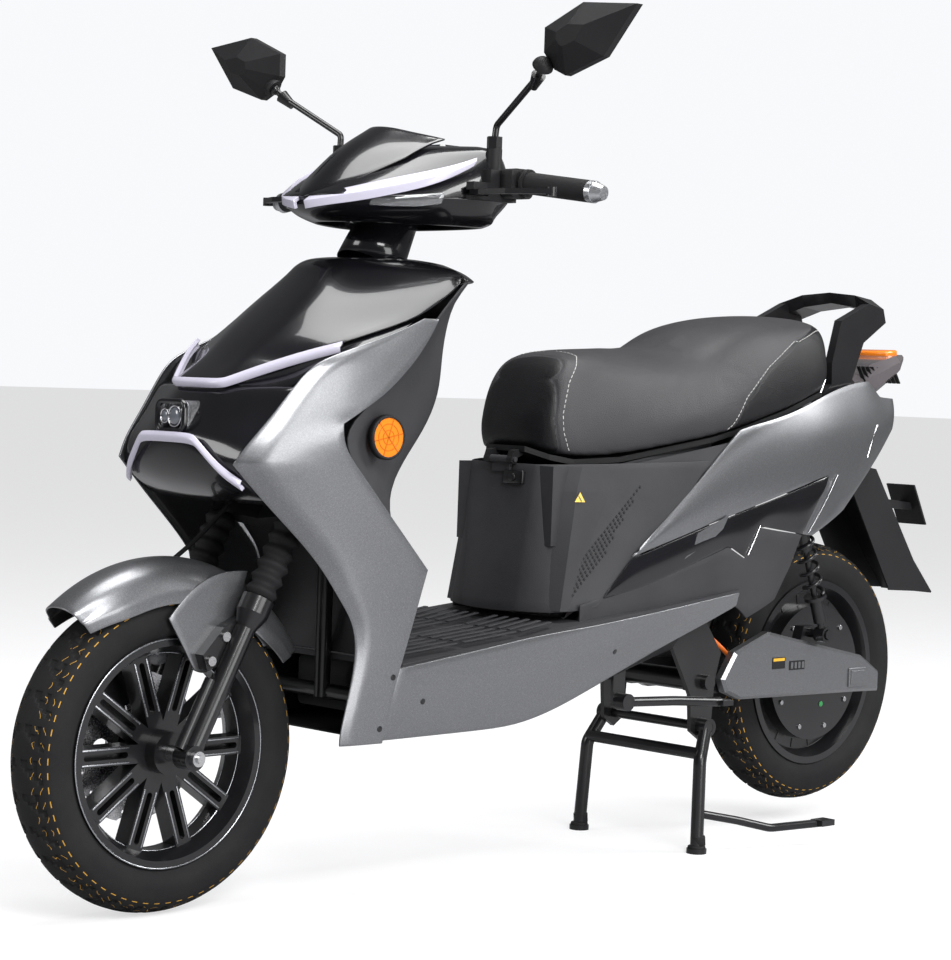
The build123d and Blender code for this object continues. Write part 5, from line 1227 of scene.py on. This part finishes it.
# floor ribs
mesh = bmesh.new()
floorTop = [(464, 367), (183, 394), (110, 407), (-151, 433), (-319, 450)]
for y in (22, 46, 70, 94, 118, 142):
    for start, end in ((440, 330), (318, 205), (196, 128)):
        low, high = bend(floorTop, end), bend(floorTop, start)
        tilt = math.atan2(high - low, start - end)
        addBox(mesh, ((start + end) / 2, y, (low + high) / 2 + 0.1), (start - end, 9, 1.8),
               Matrix.Rotation(-tilt, 3, "Y"), 0.6)
both("floorRibs", mesh, "root", greyPlastic)

# stickers and cap on the swingarm cover, bolts and dot on the hub motor
mesh = bmesh.new()
addBox(mesh, (-470, 116.4, 306), (34, 0.8, 20), None, 0)
addBox(mesh, (-520, 116.4, 300), (42, 0.8, 16), None, 0)
keep("coverLabels", mesh, "swing", blackPlastic, smooth=False)
mesh = bmesh.new()
addBox(mesh, (-470, 116.9, 312), (30, 0.6, 5), None, 0)
keep("coverStripe", mesh, "swing", tyreYellow, smooth=False)
mesh = bmesh.new()
for x in (-506, -516, -526, -536):
    addBox(mesh, (x, 116.9, 300), (6, 0.6, 11), None, 0)
keep("coverBars", mesh, "swing", silverPaint, smooth=False)
mesh = bmesh.new()
addBox(mesh, (-690, 117, 270), (48, 4, 34), None, 1.2)
addBox(mesh, (-690, 119.5, 270), (38, 1.4, 24), None, 0.6)
both("coverCap", mesh, "swing", silverPaint)
hubX, hubZ = -665, 272
mesh = bmesh.new()
for number in range(9):
    angle = math.tau * number / 9 + 0.2
    addDisc(mesh, (hubX + 104 * math.cos(angle), 41, hubZ + 104 * math.sin(angle)), (0, 1, 0), 4.4, 4)
both("hubBolts", mesh, "rear_wheel", plainSteel)
mesh = bmesh.new()
addDisc(mesh, (-687, 40.6, 213), (0, 1, 0), 5, 1.2)
keep("hubDot", mesh, "rear_wheel", greenDot)
mesh = bmesh.new()
for number in range(18):
    angle = math.tau * number / 18
    turn = Matrix.Rotation(-angle, 3, "Y")
    addBox(mesh, Vector((hubX, 13.6, hubZ)) + turn @ Vector((132, 0, 0)), (16, 1.6, 4), turn, 0.5)
both("hubRibs", mesh, "rear_wheel", rimBlack)
print("fittings made")


# soft and sprung pieces, copied from the frame's nodes
def copyNode(name, node, look, body=None, sharpAngle=0.7):
    # a merged copy of a CAD node's mesh, smooth shaded with sharp edges by angle
    source = nodes[node]
    mesh = bmesh.new()
    mesh.from_mesh(source.data)
    bpy.context.view_layer.update()
    mesh.transform(source.matrix_world)
    bmesh.ops.remove_doubles(mesh, verts=mesh.verts, dist=1e-5)
    bmesh.ops.recalc_face_normals(mesh, faces=mesh.faces)
    data = bpy.data.meshes.new(name)
    mesh.to_mesh(data)
    mesh.free()
    data.materials.append(look)
    data.shade_smooth()
    data.set_sharp_from_angle(angle=sharpAngle)
    made = link(bpy.data.objects.new(name, data), body)
    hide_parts(node)
    return made


def squashTowards(made, way):
    # makes the piece's mesh its own; the direction is normalised but nothing is flattened
    way = Vector(way).normalized()
    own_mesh(made)


gaiterPiece = copyNode("forkBellows", "fork_gaiters", softRubber, "steering")
squashTowards(gaiterPiece, (-math.sin(neckTilt), 0, math.cos(neckTilt)))
springPiece = copyNode("shockCoils", "shock_springs", blackMetal, "shock_upper")
squashTowards(springPiece, (0.110, 0, 0.290))
cablePiece = copyNode("motorLead", "motor_cable", orangeSleeve)
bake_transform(cablePiece)
hosePiece = copyNode("brakeLine", "brake_hose", softRubber)
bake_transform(hosePiece)
print("soft pieces made")

# tail lamp stripes and the indicator on top
mesh = bmesh.new()
for number in range(9):
    x = -716 - number * 15
    addBox(mesh, (x, bend([(-868, 62), (-700, 82)], x), 812), (2.2, 8, 34), Matrix.Rotation(0.6, 3, "Y"), 0.3)
both("tailStripes", mesh, "root", blackPlastic)
mesh = bmesh.new()
addBox(mesh, (-846, 0, 852), (34, 96, 12), Matrix.Rotation(0.12, 3, "Y"), 3)
keep("tailIndicator", mesh, "root", amberLens)

# feet of the centre stand
mesh = bmesh.new()
for y in (136, -136):
    addDisc(mesh, (-249, y, 7), (0, 0, 1), 15, 12, 28, 2)
    addDisc(mesh, (-252, y, 20), (0.1, 0, 1), 12.5, 18, 28, 2)
keep("standFeet", mesh, "centre_stand", softRubber)
print("last fittings made")


# camera, floor and light
view = {"place": (3.0637, 2.9992, 0.7864), "yaw": 225.965, "pitch": -2.292, "roll": 2.006, "lens": 98.28}
yaw, pitch, roll = (math.radians(view[key]) for key in ("yaw", "pitch", "roll"))
ahead = Vector((math.cos(pitch) * math.cos(yaw), math.cos(pitch) * math.sin(yaw), math.sin(pitch)))
across = ahead.cross(Vector((0, 0, 1))).normalized()
above = across.cross(ahead)
tiltedAcross = across * math.cos(roll) + above * math.sin(roll)
tiltedAbove = above * math.cos(roll) - across * math.sin(roll)
cameraData = bpy.data.cameras.new("studioCamera")
cameraData.lens = view["lens"]
cameraData.sensor_width = 36
camera = bpy.data.objects.new("studioCamera", cameraData)
camera.matrix_world = Matrix((
    (tiltedAcross.x, tiltedAbove.x, -ahead.x, view["place"][0]),
    (tiltedAcross.y, tiltedAbove.y, -ahead.y, view["place"][1]),
    (tiltedAcross.z, tiltedAbove.z, -ahead.z, view["place"][2]),
    (0, 0, 0, 1)))
bpy.context.collection.objects.link(camera)
bpy.context.scene.camera = camera

# the floor glows only where the camera sees it; the room is dimmer in reflections than in the picture
studio = {"floorGlow": 0.62, "roomSeen": 1.0, "roomMirrored": 0.16, "roomDiffuse": 0.14}
floorMaterial = finish("studioFloor", (0.42, 0.42, 0.43), (0.40, 0.40, 0.41), rough=0.85, spec=0.1)
floorShader = floorMaterial.node_tree.nodes["Principled BSDF"]
floorShader.inputs["Emission Color"].default_value = (1, 1, 1, 1)
floorTree = floorMaterial.node_tree
floorRays = floorTree.nodes.new("ShaderNodeLightPath")
floorGlow = mathNode(floorTree, "MULTIPLY", floorRays.outputs["Is Camera Ray"], studio["floorGlow"])
floorTree.links.new(floorGlow, floorShader.inputs["Emission Strength"])
floorMesh = bmesh.new()
bmesh.ops.create_grid(floorMesh, x_segments=1, y_segments=1, size=60)
floorData = bpy.data.meshes.new("studioFloor")
floorMesh.to_mesh(floorData)
floorMesh.free()
floorData.materials.append(floorMaterial)
floor = bpy.data.objects.new("studioFloor", floorData)
bpy.context.collection.objects.link(floor)

lamps = [("keyLamp", (1.8, 3.8, 3.4), 2.0, 200), ("fillLamp", (4.6, -1.6, 2.2), 1.6, 60),
         ("rearLamp", (-3.4, 2.6, 2.8), 1.8, 130), ("topLamp", (0.0, 0.2, 3.8), 2.2, 120),
         ("sideLamp", (0.2, 4.2, 0.9), 2.0, 75)]
for lampName, place, size, power in lamps:
    lampData = bpy.data.lights.new(lampName, "AREA")
    lampData.size = size
    lampData.energy = power
    light = bpy.data.objects.new(lampName, lampData)
    light.location = place
    light.rotation_euler = (Vector((0, 0, 0.5)) - Vector(place)).to_track_quat("-Z", "Y").to_euler()
    bpy.context.collection.objects.link(light)
world = bpy.data.worlds.new("softRoom")
world.use_nodes = True
room = world.node_tree
backdrop = room.nodes["Background"]
backdrop.inputs["Color"].default_value = (0.94, 0.95, 0.97, 1)
rays = room.nodes.new("ShaderNodeLightPath")
seen = room.nodes.new("ShaderNodeMapRange")
seen.inputs["To Min"].default_value = studio["roomMirrored"]
seen.inputs["To Max"].default_value = studio["roomSeen"]
room.links.new(rays.outputs["Is Camera Ray"], seen.inputs["Value"])
lifted = mathNode(room, "MULTIPLY_ADD", rays.outputs["Is Diffuse Ray"], studio["roomDiffuse"],
                  seen.outputs["Result"])
room.links.new(lifted, backdrop.inputs["Strength"])
bpy.context.scene.world = world
bpy.context.scene.view_settings.view_transform = "Standard"
print("camera and light set")
